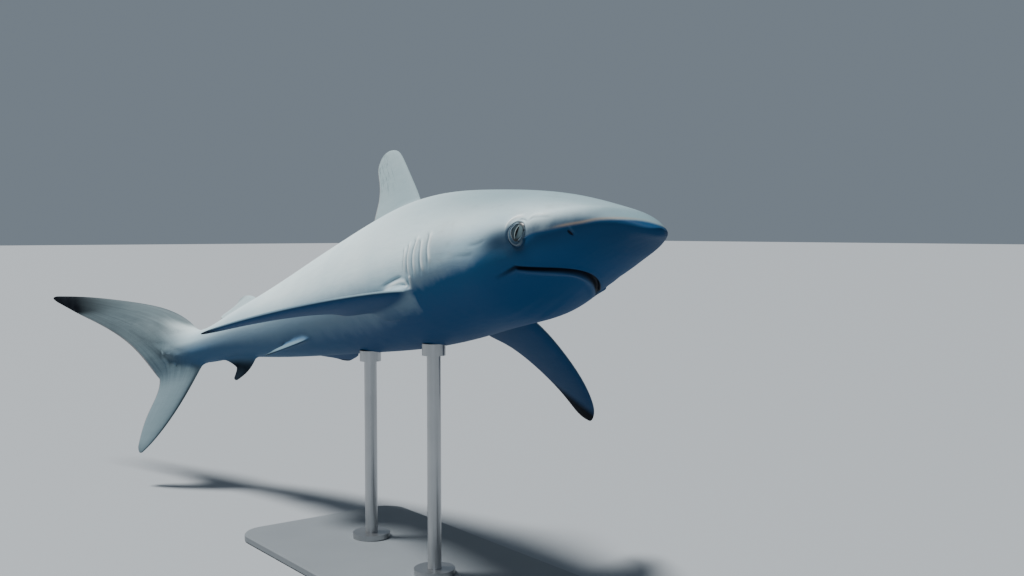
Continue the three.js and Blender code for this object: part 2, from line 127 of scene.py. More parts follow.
# Shares of the body length; a straight shark lies with its snout at zero and its tail towards -x.
shark = {
    "length": 1.8,  # metres
    "snout": (0.610, -0.058, 0.516),
    "heading": -5.779, "pitch": 10.9, "roll": -8.603,  # degrees
    # turns of the axis along the body, in radians
    "sideways": [(0, 0), (0.16, -0.0126), (0.32, -0.0384), (0.5, 0.1886), (0.68, 0.3128),
                 (0.78, 0.5272), (1, 0.2801)],
    "upward": [(0, 0), (0.25, -0.0916), (0.55, 0.0935), (0.8, 0.1299), (1, 0.1299)],
    "twist": [(0, -0.08), (0.12, -0.06), (0.25, -0.0093), (0.75, -0.1328), (1, 0.1171)],
    "axisSteps": 220, "axisReach": 1.1,
    # percent of the length: distance from the snout, top, bottom, half width
    "outline": [
        (0.25, -0.42, -0.42, 0), (0.75, -0.04, -0.75, 0.85), (2.03, 0.86, -0.7, 1.87),
        (4, 1.69, -0.98, 2.95), (6.8, 2.68, -1.76, 3.75), (10, 3.6, -2.89, 4.4), (14, 4.45, -4.2, 4.98),
        (19, 5.24, -4.78, 5.52), (25, 5.91, -5.5, 5.8), (32, 6.15, -6, 5.42), (40, 5.93, -5.87, 4.72),
        (50, 4.98, -5.05, 3.72), (60, 3.6, -3.66, 2.68), (69, 2.28, -2.3, 1.82), (74.2, 1.85, -1.8, 1.36),
        (77.5, 3, -0.75, 1.05), (82, 5.1, 1.6, 0.52), (88, 7.1, 5, 0.14),
    ],
    "start": 0.0025, "end": 0.88,
    "widest": 0.47,  # height of the widest line, as a share of the section's height
    "dip": 0.04, "dipIn": (0, 0.03), "dipOut": (0.08, 0.16),  # how much lower it lies on the snout
    "sharpAbove": 0.2, "sharpTo": (0, 0.12), "flatBelow": 0.2, "flatTo": (0.02, 0.14),
}
outline = np.array(shark["outline"]) / 100
outlineCurves = [spline(np.sqrt(outline[:, 0] - shark["start"]), outline[:, k]) for k in (1, 2, 3)]


# Top, bottom, middle height and half width in metres at share s, as cubics of the root of s, which
# rounds the snout; the widest line dips there.
def profile(s):
    u = np.sqrt(np.maximum(np.asarray(s, float) - shark["start"], 0))
    top, bottom, half = (curve(u) * shark["length"] for curve in outlineCurves)
    dip = shark["dip"] * ease(*shark["dipIn"], s) * (1 - ease(*shark["dipOut"], s))
    middle = bottom + (top - bottom) * (shark["widest"] - dip)
    return top, bottom, middle, np.maximum(half, 0)


def sectionPowers(s):  # over 1 draws the side edge out, under 1 flattens the underside
    return (1 + shark["sharpAbove"] * (1 - ease(*shark["sharpTo"], s)),
            1 - shark["flatBelow"] * (1 - ease(*shark["flatTo"], s)))


# Point of the section: cosine of the angle across, a power of its sine up or down.
def sectionPoints(s, angle):
    top, bottom, middle, half = profile(s)
    above, below = sectionPowers(s)
    rise = np.sin(angle)
    size = np.abs(rise)
    z = middle + np.where(rise > 0, (top - middle) * size**above, -(middle - bottom) * size**below)
    return np.stack(np.broadcast_arrays(-s * shark["length"], half * np.cos(angle), z), -1)


# Half width of the body at share s and height z in metres: sectionPoints turned round.
def halfWidthAt(s, z):
    top, bottom, middle, half = profile(s)
    above, below = sectionPowers(s)
    share = np.where(z > middle, (z - middle) / (top - middle), (middle - z) / (middle - bottom))
    power = np.where(z > middle, above, below)
    return half * np.sqrt(1 - np.clip(share, 0, 1) ** (2 / power))


# The section through each point: its share, middle and half width, the point's height over the
# middle, and the section's own reach that way.
def aroundBody(points):
    s = np.clip(-points[..., 0] / shark["length"], shark["start"] + 1e-4, shark["end"])
    top, bottom, middle, half = profile(s)
    up = points[..., 2] - middle
    return s, middle, half, up, np.where(up > 0, top - middle, middle - bottom)


# Metres outside the plain body: distance from the middle times 1 - 1 / ratio, where the ratio is 1
# on the section's ellipse.
def bodyDistance(points):
    half, up, reach = aroundBody(points)[2:]
    ratio = np.sqrt((points[..., 1] / half) ** 2 + (up / reach) ** 2)
    return np.hypot(points[..., 1], up) * (1 - 1 / np.maximum(ratio, 1e-3))


# Drops points onto the plain section, along the line from its middle, by dividing by the size of the
# section through them until that size is 1.
def ontoBody(points):
    s, middle, half, up, reach = aroundBody(points)
    above, below = sectionPowers(s)
    power = np.where(up > 0, above, below)
    scale = np.ones(len(points))
    for _ in range(5):
        size = (scale * points[:, 1] / half) ** 2 + (scale * np.abs(up) / reach) ** (2 / power)
        scale = scale / np.sqrt(np.maximum(size, 0.01))
    return np.stack([points[:, 0], points[:, 1] * scale, middle + up * scale], 1)


# Unit vectors along the bent axis, and the axis itself as the running sum of the forward vectors.
def bentAxis(spec):
    steps, reach = spec["axisSteps"], spec["axisReach"]
    s = np.linspace(0, reach, steps + 1)
    a, b, t = (monotone(spec[k])(s) for k in ("sideways", "upward", "twist"))
    forward = np.stack([np.cos(a) * np.cos(b), np.sin(a) * np.cos(b), np.sin(b)], 1)
    level = np.stack([-np.sin(a), np.cos(a), 0 * a], 1)
    left = level * np.cos(t)[:, None] + np.cross(forward, level) * np.sin(t)[:, None]
    up = np.cross(forward, left)
    step = spec["length"] * reach / steps
    place = -np.vstack([np.zeros(3), np.cumsum((forward[1:] + forward[:-1]) / 2 * step, 0)])
    return s, place, forward, left, up


def turnAbout(axis, degrees):  # matrix of a turn about x, y or z: cosines, and sines of opposite sign
    c, s = np.cos(np.radians(degrees)), np.sin(np.radians(degrees))
    i, j = [(1, 2), (2, 0), (0, 1)][axis]
    matrix = np.eye(3)
    matrix[[i, j, i, j], [i, j, j, i]] = c, c, -s, s
    return matrix


axisShare, *axisParts = bentAxis(shark)
standing = turnAbout(2, shark["heading"]) @ turnAbout(1, -shark["pitch"]) @ turnAbout(0, shark["roll"])


def axisAt(s):  # place, forward, left and up at share s, read off between the axis's steps
    return [np.stack([np.interp(s, axisShare, part[:, k]) for k in range(3)], -1) for part in axisParts]


# Straight shark to posed shark: out along the bent frame, then onto the stand.
def posed(points):
    flat = points.reshape(-1, 3)
    place, forward, left, up = axisAt(np.maximum(0, -flat[:, 0] / shark["length"]))
    bent = place + forward * np.maximum(0, flat[:, :1]) + left * flat[:, 1:2] + up * flat[:, 2:3]
    return (bent @ standing.T + np.array(shark["snout"])).reshape(points.shape)


# The way back: the share where the point lies square to the axis, from the nearest step of the axis
# and then closed in by what is left along it.
def straightened(points, slices=40, rounds=8):
    bent = (points - np.array(shark["snout"])) @ standing
    s = np.empty(len(bent))
    for part in np.array_split(np.arange(len(bent)), slices):
        away = ((bent[part, None, :] - axisParts[0][None]) ** 2).sum(-1)
        s[part] = axisShare[away.argmin(1)]
    for _ in range(rounds):
        place, forward, left, up = axisAt(s)
        s = np.clip(s - ((bent - place) * forward).sum(1) / shark["length"], 0, shark["axisReach"])
    place, forward, left, up = axisAt(s)
    offset = bent - place
    ahead = np.where(s <= 0, (offset * forward).sum(1), 0)
    return np.stack([-s * shark["length"] + ahead, (offset * left).sum(1), (offset * up).sum(1)], 1)


eye = {
    "share": 0.0921, "height": 0.0003,  # centre of the opening, shares of the length
    "turn": 0.12, "spacing": 0.004,  # radians towards the snout; share over which the flank is felt
    "domeGrid": (60, 96), "pole": 0.03,  # rows and columns; radians left open at each pole
    # in metres: radii, and the margins inside and outside them over which an edge eases
    "domeRadius": 0.0122, "domeDepth": 0.0040, "sink": 0.0029,
    "openRadius": 0.0088, "openEdge": (0.0008, 0.0006), "pit": 0.0080, "pitEdge": (0.0014, 0.0001),
    "ringRadius": 0.0130, "ringBack": 0.0026, "ringDrop": 0.0023, "stretch": 0.92,
    "ringRise": 0.0014, "ringEdge": (0.0014, 0.0008), "ringReach": 0.06,
    "dish": 0.0008, "dishRadius": 0.0108, "dishWidth": 0.0012, "dishFade": 0.004,
    "groove": 0.0011, "grooveOut": 0.0014, "grooveWidth": 0.0010, "leanEnds": (0.014, 0.034),
}
# Low swellings and one hollow on each flank, as bells over ovals: centre back and up, how much each
# way is drawn in, width and rise. The first two are in metres from the eye, the others in shares.
nearEye = [(-0.034, 0.003, 0.9, 0.9, 0.013, 0.0016), (0.023, -0.013, 0.625, 1, 0.013, -0.0032)]
onCheek = [(0.137, -0.020, 1, 0.9, 0.022, 0.0026), (0.212, -0.006, 0.8, 1, 0.020, 0.0014)]
backRidge = {"start": (0.43, 0.47), "end": (0.61, 0.64), "width": 0.0030, "rise": 0.0012}
tailPits = {"share": 0.738, "length": 0.0035, "width": 0.012, "depth": 0.0030}
mouth = {
    "front": 0.0742, "reach": 0.0285, "halfWidth": 0.0320, "aside": -0.003,  # shares of the length
    "bend": 1.95,  # power by which the line runs back
    "furrow": (0.1217, 0.0368, -0.0240),  # where the crease behind the corner ends
    "steps": 60, "creaseSteps": 11, "within": (0.055, 0.135),
    # in metres, the gap's depth and half height, at the front and at the corner
    "depth": 0.0058, "half": (0.0031, 0.0013), "narrowing": 1.4,
    "lowerLip": (0.0085, 0.0050, 0.0020), "upperLip": (-0.0046, 0.0030, 0.0006),  # place, width, rise
    # where the gap and its darkness, painted shade, begin, in metres, and where they end, in half heights
    "gapTop": (-0.0013, 0.0), "gapBottom": (1.2, 3.4),
    "darkTop": (-0.0026, -0.0010), "darkBottom": (2.1, 3.3),
    "atCrease": {"half": 0.45, "depth": 0.15, "dark": 0.12},  # what is left at the crease's end
    "lipTone": (0.10, 3.7, 1.1),  # strength, place and width in half heights
    "drawn": (0.035, 0.15), "drawnBelow": (-0.35, 0.45),  # where rings are drawn back to its line
}
nostril = {
    "share": 0.0502, "height": -0.0046, "slant": (0.55, 0.84),  # shares; how far back and up it slants
    "length": 0.0032, "width": 0.0021, "flapAhead": 0.0045, "flapWidth": 0.0018,  # metres
}

# Ridges and creases on each flank: path as (share, height) in percent, half width and rise in
# millimetres, and tone, where +1 is pale, a painted highlight along a ridge, and -1 dark, painted shade in a
# crease or slit.
strokes = [
    # gill slits from front to back, each a pale arch, a painted highlight, with its slit behind in painted
    # shade
    ([(19.45, 1.35), (19.2, 0.9), (19.15, 0.2), (19.0, -0.5), (18.95, -1.0)], 2.3, 1.7, 0.8),
    ([(19.9, 1.3), (19.62, 0.9), (19.55, 0.2), (19.4, -0.6), (19.4, -1.5)], 1.3, -2.6, -0.8),
    ([(20.4, 0.9), (20.15, 0.45), (20.05, -0.3), (20.0, -1.0), (19.9, -1.5)], 2.3, 1.7, 0.85),
    ([(20.8, 0.9), (20.55, 0.5), (20.45, -0.3), (20.42, -1.0), (20.45, -1.7)], 1.3, -2.6, -0.8),
    ([(21.2, 1.15), (20.95, 0.9), (21.08, 0.2), (21.1, -0.8), (21.15, -1.6)], 2.2, 1.8, 0.9),
    ([(21.6, 1.1), (21.4, 0.7), (21.5, 0.1), (21.5, -0.8), (21.55, -1.8)], 1.3, -2.6, -0.8),
    ([(22.2, 0.9), (21.98, 0.5), (22.0, -0.2), (22.0, -1.0), (22.0, -1.75)], 2.0, 1.7, 0.9),
    ([(22.5, 0.8), (22.3, 0.4), (22.32, -0.3), (22.34, -1.0), (22.4, -1.6)], 1.2, -2.4, -0.8),
    ([(22.75, 0.5), (22.62, 0.1), (22.62, -0.5), (22.62, -1.4)], 1.7, 1.4, 0.8),
    ([(23.1, 0.55), (22.95, 0.1), (22.92, -0.4), (22.95, -1.3)], 1.2, -2.2, -0.7),
    # shoulder over the root of the pectoral fin
    ([(22.0, -1.5), (22.1, -1.9), (22.45, -2.6)], 2.4, 2.0, 0.9),
    ([(22.75, -2.5), (22.85, -2.0), (23.4, -1.85), (24.5, -1.88), (25.7, -2.0), (27.2, -2.2)], 2.4, 2.2, 0.9),
    ([(22.55, -2.2), (22.7, -1.75)], 1.6, -2.0, -0.7),
    ([(23.3, -1.5), (24.5, -1.58), (25.9, -1.78), (27.6, -2.0)], 1.7, -1.6, -0.5),
    # crease from the top of the eye to the snout, and a swelling over it
    ([(8.55, 0.66), (8.15, 0.84), (7.65, 0.8), (7.1, 0.74), (6.4, 0.62)], 1.6, -0.6, -0.3),
    ([(8.6, 0.88), (8.1, 1.02), (7.5, 0.98), (6.8, 0.86)], 2.2, 0.6, 0.3),
    # brow over the eye ring and the line between them
    ([(10.35, 0.35), (10.1, 0.85), (9.55, 1.1), (9.0, 1.02)], 2.0, 1.4, 0.9),
    ([(9.35, 0.88), (8.95, 0.84), (8.6, 0.66)], 0.8, -1.0, -0.7),
    # faint creases on the cheek
    ([(12.3, -0.1), (13.2, -0.35), (14.3, -0.3)], 2.6, -0.7, -0.15),
    ([(13.5, -0.9), (14.6, -0.95), (15.8, -0.75)], 3.0, -0.7, -0.15),
    ([(16.2, 0.5), (16.9, -0.1), (17.2, -0.8)], 3.0, -0.7, -0.15),
]
strokeEnds = {"fadeIn": (-0.05, 0.25), "fadeOut": (0.75, 1.05), "stepsPerKnot": 6, "reach": 4}


# Every stroke is a bell across its smoothed path, fading at both ends: rise in metres, tone -1 to 1,
# from painted shade to painted highlight.
def drawStrokes(points, side):
    flat = np.stack([-points[..., 0], points[..., 2]], -1).reshape(-1, 2)
    side = side.ravel()
    rise, tone = np.zeros((2, len(flat)))
    for path, width, height, shade in strokes:
        knots, order = np.array(path) / 100 * shark["length"], np.arange(len(path))
        steps = np.linspace(0, len(path) - 1, strokeEnds["stepsPerKnot"] * len(path))
        smooth = np.stack([spline(order, knots[:, k])(steps) for k in (0, 1)], 1)
        reach = strokeEnds["reach"] * width / 1000
        boxed = ((flat > smooth.min(0) - reach) & (flat < smooth.max(0) + reach)).all(1)
        near = np.flatnonzero(boxed & side)
        away, where = pathDistance(flat[near], smooth)
        share = where / (len(smooth) - 1)
        ends = ease(*strokeEnds["fadeIn"], share) * (1 - ease(*strokeEnds["fadeOut"], share))
        stroke = bell(away, width / 1000) * ends
        rise[near] += height / 1000 * stroke
        tone[near] += shade * stroke
    return rise.reshape(points.shape[:-1]), np.clip(tone, -1, 1).reshape(points.shape[:-1])


# Points of the mouth line: across by t, back by a power of t, then the crease behind the corner,
# where the line leaves the section's own height. Beside them, how deep the mouth is there.
def mouthPath(side):
    length, count = shark["length"], mouth["steps"]
    t = np.linspace(0, 1, count)
    crease = np.linspace(0, 1, mouth["creaseSteps"] + 1)[1:]
    endS, endY, endZ = mouth["furrow"]
    s = mouth["front"] + mouth["reach"] * t ** mouth["bend"]
    y = side * mouth["halfWidth"] * t + mouth["aside"]
    s = np.concatenate([s, s[-1] + (endS - s[-1]) * crease])
    y = np.concatenate([y, y[-1] + (side * endY - y[-1]) * crease])
    bottom, middle, half = profile(s)[1:]
    sine = np.sqrt(np.clip(1 - (y * length / half) ** 2, 0, 1))
    z = middle - (middle - bottom) * sine ** sectionPowers(s)[1]
    z[count:] = z[count - 1] + (endZ * length - z[count - 1]) * crease
    y[count:] = side * halfWidthAt(s[count:], z[count:]) / length
    return np.stack([-s * length, y * length, z], -1), np.concatenate([np.ones(count), 1 - crease])


# Distance to a path, and how far along it, from the nearest of its straight bits.
def pathDistance(points, path):
    start, along = path[:-1], np.diff(path, axis=0)
    best, where = np.full(len(points), 1e9), np.zeros(len(points))
    for k in range(len(start)):
        t = np.clip(((points - start[k]) @ along[k]) / (along[k] @ along[k]), 0, 1)
        d = np.linalg.norm(points - start[k] - t[:, None] * along[k], axis=1)
        nearer = d < best
        best, where = np.where(nearer, d, best), np.where(nearer, k + t, where)
    return best, where


# Back and up from the middle of the eye's opening, and the distance from it and from its lid ring,
# both as ovals.
def eyePlaces(s, z):
    back = (s - eye["share"]) * shark["length"]
    up = z - eye["height"] * shark["length"]
    opening = np.hypot(back / eye["stretch"], up)
    ring = np.hypot((back - eye["ringBack"]) / eye["stretch"], up + eye["ringDrop"])
    return back, up, opening, ring


def swellings(back, up, rows):  # sum of bells over ovals
    return sum(rise * bell(np.hypot((back - atBack) * wide, (up - atUp) * tall), width)
               for atBack, atUp, wide, tall, width, rise in rows)


def edgeAt(radius, edge, distance):  # 0 inside the radius, 1 outside, easing between its two margins
    return ease(radius - edge[0], radius + edge[1], distance)


# How far the skin stands out from the plain section, in metres, and the tone of its strokes, painted
# highlights and painted shade: the lid ring is a low disc with a rim and a dish, round a pit for the eye;
# then swellings, ridge and pits.
def skinRelief(points):
    length = shark["length"]
    s, z = -points[..., 0] / length, points[..., 2]
    side = np.abs(points[..., 1]) > 0.2 * np.maximum(profile(np.maximum(s, shark["start"]))[3], 1e-5)
    back, up, opening, ring = eyePlaces(s, z)
    behind = ease(-eye["dishFade"], eye["dishFade"], back - 0.5 * up)
    lid = eye["ringRise"] * (1 - edgeAt(eye["ringRadius"], eye["ringEdge"], ring))
    lid = lid - eye["dish"] * bell(ring - eye["dishRadius"], eye["dishWidth"]) * behind
    lid = lid * edgeAt(eye["openRadius"], eye["openEdge"], opening)
    pit = -eye["pit"] * (1 - edgeAt(eye["openRadius"], eye["pitEdge"], opening))
    groove = -eye["groove"] * bell(ring - eye["ringRadius"] - eye["grooveOut"], eye["grooveWidth"])
    lean = np.tan(eye["turn"]) * back * (1 - ease(*eye["leanEnds"], ring))
    relief = np.where(side & (ring < eye["ringReach"]), lid + pit + groove + lean, 0)
    relief = relief + (swellings(back, up, nearEye) + swellings(s, z / length, onCheek)) * side
    ridge = ease(*backRidge["start"], s) * (1 - ease(*backRidge["end"], s)) * (z > 0)
    relief = relief + backRidge["rise"] * ridge * bell(points[..., 1], backRidge["width"])
    pits = bell((s - tailPits["share"]) * length, tailPits["length"])
    pits = pits * bell(points[..., 1], tailPits["width"])
    rise, tone = drawStrokes(points, side)
    return relief - tailPits["depth"] * pits + rise, tone


# Mouth: the gap's upper edge is sharp and its lower side rolls out over the jaw, by the distance
# to the line, positive on the jaw's side. Gives relief, the gap's darkness as painted shade and the lip's
# tone.
def mouthRelief(points):
    s = -points[:, 0] / shark["length"]
    near = (s > mouth["within"][0]) & (s < mouth["within"][1]) & (points[:, 2] < 0.0)
    relief, dark, tone = np.zeros((3, len(points)))
    spot, s = ontoBody(points[near]), s[near]
    best, depth = np.full(len(spot), 1e9), np.zeros(len(spot))
    for side in (1, -1):
        path, strength = mouthPath(side)
        d, where = pathDistance(spot, path)
        nearer = d < best
        best = np.where(nearer, d, best)
        depth = np.where(nearer, np.interp(where, np.arange(len(strength)), strength), depth)
    t = np.clip(np.abs(spot[:, 1] / shark["length"] - mouth["aside"]) / mouth["halfWidth"], 0, 1.3)
    corner = mouth["front"] + mouth["reach"]
    behind = (t < 1) & (s > mouth["front"] + mouth["reach"] * t ** mouth["bend"])
    furrow = np.interp(s, [corner, mouth["furrow"][0]], [path[mouth["steps"] - 1, 2], path[-1, 2]])
    behind = np.where(s < corner, behind, spot[:, 2] < furrow)
    signed = np.where(behind, best, -best)
    wide, narrow = mouth["half"]
    left, (tint, lipPlace, lipWidth) = mouth["atCrease"], mouth["lipTone"]
    half = (wide + (narrow - wide) * np.clip(t, 0, 1) ** mouth["narrowing"]) * atLeast(left["half"], depth)
    gap = ease(*mouth["gapTop"], signed) * (1 - ease(*mouth["gapBottom"], signed / half))
    relief[near] = -mouth["depth"] * (half / wide) ** 0.6 * gap * atLeast(left["depth"], depth)
    for place, width, rise in (mouth["lowerLip"], mouth["upperLip"]):
        relief[near] += rise * bell(signed - place, width) * depth
    # Painted shade in the mouth's gap.
    edge = ease(*mouth["darkTop"], signed) * (1 - ease(*mouth["darkBottom"], signed / half))
    dark[near] = edge * atLeast(left["dark"], depth)
    tone[near] = tint * bell((signed - lipPlace * half) / half, lipWidth) * depth
    return relief, dark, tone


# Places between two ends whose spacing is the inverse of a density: read back its running sum.
def spread(low, high, density, count=None):
    fine = np.linspace(low, high, 6000)
    total = np.concatenate([[0], np.cumsum((density(fine[1:]) + density(fine[:-1])) / 2 * np.diff(fine))])
    count = count or int(round(total[-1]))
    return np.interp(np.linspace(0, total[-1], count), total, fine)


skin = {
    "around": 204,  # points in a ring
    "trunk": 104,  # rings per metre, then what the head, face, gills and nose add over their shares
    "head": 240, "headEnd": (0.128, 0.15),
    "face": 1150, "faceStart": (0.064, 0.070), "faceEnd": (0.094, 0.104),
    "gills": 560, "gillsStart": (0.184, 0.189), "gillsEnd": (0.231, 0.238),
    "nose": 900, "noseWidth": 0.006, "noseEase": 0.02,
    "crowding": 2.4, "crowdAbove": 0.34, "crowdBelow": 0.62,  # of points on the flanks, in radians
}


def stationDensity(s):  # rings per share of the length: a sum of stretches, each eased in and out
    head = skin["head"] * (1 - ease(*skin["headEnd"], s))
    face = skin["face"] * (ease(*skin["faceStart"], s) - ease(*skin["faceEnd"], s))
    slits = skin["gills"] * (ease(*skin["gillsStart"], s) - ease(*skin["gillsEnd"], s))
    nose = skin["nose"] * bell(s - shark["start"], skin["noseWidth"])
    return (skin["trunk"] + head + face + slits + nose) * shark["length"]


def angleDensity(angle):  # a flat topped bell about each flank, where eye, mouth corner and gills are
    flank = np.minimum(np.abs(angle), np.pi - np.abs(angle))
    width = np.where(angle < 0, skin["crowdBelow"], skin["crowdAbove"])
    return 1 + skin["crowding"] * np.exp(-(flank / width) ** 4)


# Rings are drawn back on the lower flanks, by the mouth line's own power, so that one runs along it.
def drawnBack(ring, angle):
    first, last = mouth["drawn"]
    pull = ease(first, mouth["front"], ring) * (1 - ease(mouth["front"], last, ring))
    below = 1 - ease(*mouth["drawnBelow"], np.sin(angle))
    s = ring + 0 * angle
    for _ in range(12):
        across = np.abs(profile(s)[3] * np.cos(angle) / shark["length"] - mouth["aside"])
        share = np.clip(across / mouth["halfWidth"], 0, 1)
        s = ring + pull * below * mouth["reach"] * share ** mouth["bend"]
    return s


# Closed tube of rings, with a point at each end: grid quads and two fans.
def tubeFaces(rings, around):
    i, j = np.meshgrid(np.arange(rings - 1), np.arange(around), indexing="ij")
    k = (j + 1) % around
    quads = np.stack([i * around + j, (i + 1) * around + j, (i + 1) * around + k, i * around + k], -1)
    j = np.arange(around)
    k = (j + 1) % around
    last = (rings - 1) * around
    start = np.stack([np.full(around, rings * around), j, k], -1)
    end = np.stack([np.full(around, rings * around + 1), last + k, last + j], -1)
    return quads.reshape(-1, 4), np.vstack([start, end])


# Fills a smooth mesh from arrays: quads first, then triangles.
def makeMesh(name, points, quads, triangles):
    mesh = bpy.data.meshes.new(name)
    mesh.vertices.add(len(points))
    mesh.vertices.foreach_set("co", np.ascontiguousarray(points, np.float32).ravel())
    corners = np.concatenate([quads.ravel(), triangles.ravel()]).astype(np.int32)
    sizes = np.concatenate([np.full(len(quads), 4), np.full(len(triangles), 3)]).astype(np.int32)
    mesh.loops.add(len(corners))
    mesh.loops.foreach_set("vertex_index", corners)
    mesh.polygons.add(len(sizes))
    mesh.polygons.foreach_set("loop_start", np.concatenate([[0], np.cumsum(sizes)[:-1]]).astype(np.int32))
    mesh.polygons.foreach_set("loop_total", sizes)
    mesh.update(calc_edges=True)
    mesh.validate()
    mesh.shade_smooth()
    return mesh


def meshObject(name, mesh):  # at the origin, unturned
    thing = bpy.data.objects.new(name, mesh)
    scene.collection.objects.link(thing)
    return thing


# Mesh of a grid of points, rings by around, whose end points are the centres of the first and last
# ring; turned inside out when its volume comes out negative.
def closedTube(name, grid):
    rings, around = grid.shape[:2]
    quads, fans = tubeFaces(rings, around)
    points = np.vstack([grid.reshape(-1, 3), grid[0].mean(0), grid[-1].mean(0)])
    if signedVolume(points, quads, fans) < 0:
        quads, fans = quads[:, ::-1], fans[:, ::-1]
    return makeMesh(name, points, quads, fans)


def signedVolume(points, quads, fans):  # sum of a cross b dot c over the triangles, six times over
    triangles = np.vstack([quads[:, [0, 1, 2]], quads[:, [0, 2, 3]], fans])
    a, b, c = (points[triangles[:, k]] for k in range(3))
    return (np.cross(a, b) * c).sum()


# Body: the plain sections at every station and angle, moved out along the surface's normal by the
# relief, then bent into the pose. The normal is the cross product of the grid's two slopes.
def bodyMesh():
    s = spread(shark["start"] + 0.00003, shark["end"], stationDensity)
    angle = spread(-np.pi, np.pi, angleDensity, skin["around"] + 1)[:-1]
    station = drawnBack(s[:, None], angle[None, :])
    plain = sectionPoints(station, angle[None, :])
    wrapped = np.concatenate([plain[:, -1:], plain, plain[:, :1]], 1)
    down = np.gradient(plain, axis=0)
    across = np.gradient(wrapped, axis=1)[:, 1:-1]
    outward = np.cross(down, across)
    outward /= np.maximum(np.linalg.norm(outward, axis=-1, keepdims=True), 1e-12)
    outward *= np.sign((outward[len(s) // 2, :, 1] * plain[len(s) // 2, :, 1]).sum())
    relief = skinRelief(plain)[0]
    relief = relief + mouthRelief(plain.reshape(-1, 3))[0].reshape(relief.shape)
    relief = relief * ease(shark["start"], skin["noseEase"], s)[:, None]
    shape = posed(plain + outward * relief[..., None])
    print("shark: body grid", shape.shape[:2])
    return closedTube("body", shape), shape.reshape(-1, 3)


# Percent of the length: leading edge and trailing edge from root to tip, and thickness. The root is
# the radius in metres of the fillet where the fin meets the body.
middleFins = {
    "first_dorsal_fin": {
        "lead": [(33.4, 5), (34.5, 6.9), (36.6, 9.15), (38.7, 11.4), (40.2, 12.65), (41.9, 13.1)],
        "trail": [(41.5, 5), (43.4, 6.15), (42.95, 8.3), (43.1, 10.3), (43.55, 11.8), (42.9, 12.95)],
        "thick": 0.95, "root": 0.016, "rows": 64, "columns": 26,
    },
    "second_dorsal_fin": {
        "lead": [(63.2, 2.4), (64.4, 3.6), (65.6, 4.15), (66.7, 4.35)],
        "trail": [(67.5, 2), (70.6, 2.7), (68.6, 3.4), (67.5, 4.15)],
        "thick": 0.5, "root": 0.006, "rows": 34, "columns": 16,
    },
    "anal_fin": {
        "lead": [(62.6, -2.6), (63.8, -4.1), (65.2, -4.85), (66.3, -5.15)],
        "trail": [(67, -1.8), (70.3, -1.8), (67, -3.1), (66.8, -4.85)],
        "thick": 0.5, "root": 0.006, "rows": 34, "columns": 16,
    },
    "caudal_fin_upper": {
        "lead": [(73.4, 1.1), (76, 3.5), (80.3, 5.8), (86.6, 7.8), (92.2, 9.3), (96.2, 10.25),
                 (99.3, 10.95)],
        "trail": [(78.6, -3.4), (80, -2.4), (84, 1.4), (88.9, 4.75), (93.2, 7.05), (95.6, 8.35),
                  (99.5, 10.55)],
        "thick": 1.3, "root": 0.010, "rows": 84, "columns": 26,
    },
    "caudal_fin_lower": {
        "lead": [(72.2, -1.2), (74.2, -4), (76.6, -7), (79.4, -9.6), (81.7, -11)],
        "trail": [(81.5, 0.2), (79.5, -3.2), (80.8, -6.3), (81.8, -8.6), (82.2, -10.3)],
        "thick": 1.2, "root": 0.010, "rows": 56, "columns": 22,
    },
}
pectoral = {
    "lead": [(0.4, -1.2), (-0.17, 1.88), (0.64, 5.18), (2.5, 8.9), (5.2, 12.2), (7.8, 13.85)],
    "trail": [(5.4, -1.2), (9.06, 1.62), (7.67, 3.96), (7.42, 8.9), (8.4, 12.3), (8.25, 13.6)],
    "thick": 1.3, "root": 0.016, "rows": 70, "columns": 26, "base": (22.92, 4.35, -2.93),
}
pelvic = {
    "lead": [(-0.2, -0.8), (0.4, 0.9), (1.8, 2.1), (3.2, 3)],
    "trail": [(4, -0.8), (6, 0.9), (4.6, 2), (3.9, 2.9)],
    "thick": 0.6, "root": 0.007, "rows": 34, "columns": 16, "base": (49.6, 2.1, -3.9),
}
# base: back, out and up; set: droop, droop gained along the span, turn in its plane, tilt (radians)
pairedFins = {
    "pectoral_fin_left": dict(pectoral, set=(0.558, 0.06, -0.035, 0.02), side=1),
    "pectoral_fin_right": dict(pectoral, set=(0.15, 0.19, -0.02, 0.14), side=-1),
    "pelvic_fin_left": dict(pelvic, set=(0.12, 0.05, 0.28, -0.08), side=1),
    "pelvic_fin_right": dict(pelvic, set=(0.56, 0.05, 0.27, 0.03), side=-1),
}
foil = {
    "rimHalf": 0.0004,  # metres, half the thickness left at the edges
    "crowding": 1.5, "taper": 0.35, "fullness": 1.9, "fining": 0.9,
    "tipStart": 0.955, "tipChord": 0.15,  # where the tip rounds off, and the chord left at its end
    "filletEnds": (0.78, 0.86),  # share of the body where fillets stop, on the tail's lobes
    "pivot": 0.03, "span": 0.15,  # shares, of a paired fin's turn and droop
}


def onMiddle(back, out, aside):  # fins of the middle plane stand straight up or down
    return np.stack([-back, aside, out], -1)


# Lays a paired fin's (back, out, thick) on its side: turned in its plane about a pivot, drooping
# along its span by the mean droop so far, tilted by the tangent.
def onSide(fin):
    length, side = shark["length"], fin["side"]
    droop, gain, turn, tilt = fin["set"]
    rootBack, rootOut, rootUp = (v / 100 * length for v in fin["base"])
    pivot, span = foil["pivot"] * length, foil["span"] * length

    def lay(back, out, thick):
        x = pivot + (back - pivot) * np.cos(turn) + out * np.sin(turn)
        h = out * np.cos(turn) - (back - pivot) * np.sin(turn)
        share = np.clip(h / span, 0, 1)
        mean, local = droop + gain * share / 2, droop + gain * share
        y = rootOut + h * np.cos(mean) + thick * np.sin(local)
        z = rootUp - h * np.sin(mean) + thick * np.cos(local) - (x - pivot) * np.tan(tilt)
        return np.stack([-(rootBack + x), side * y, z], -1)

    return lay


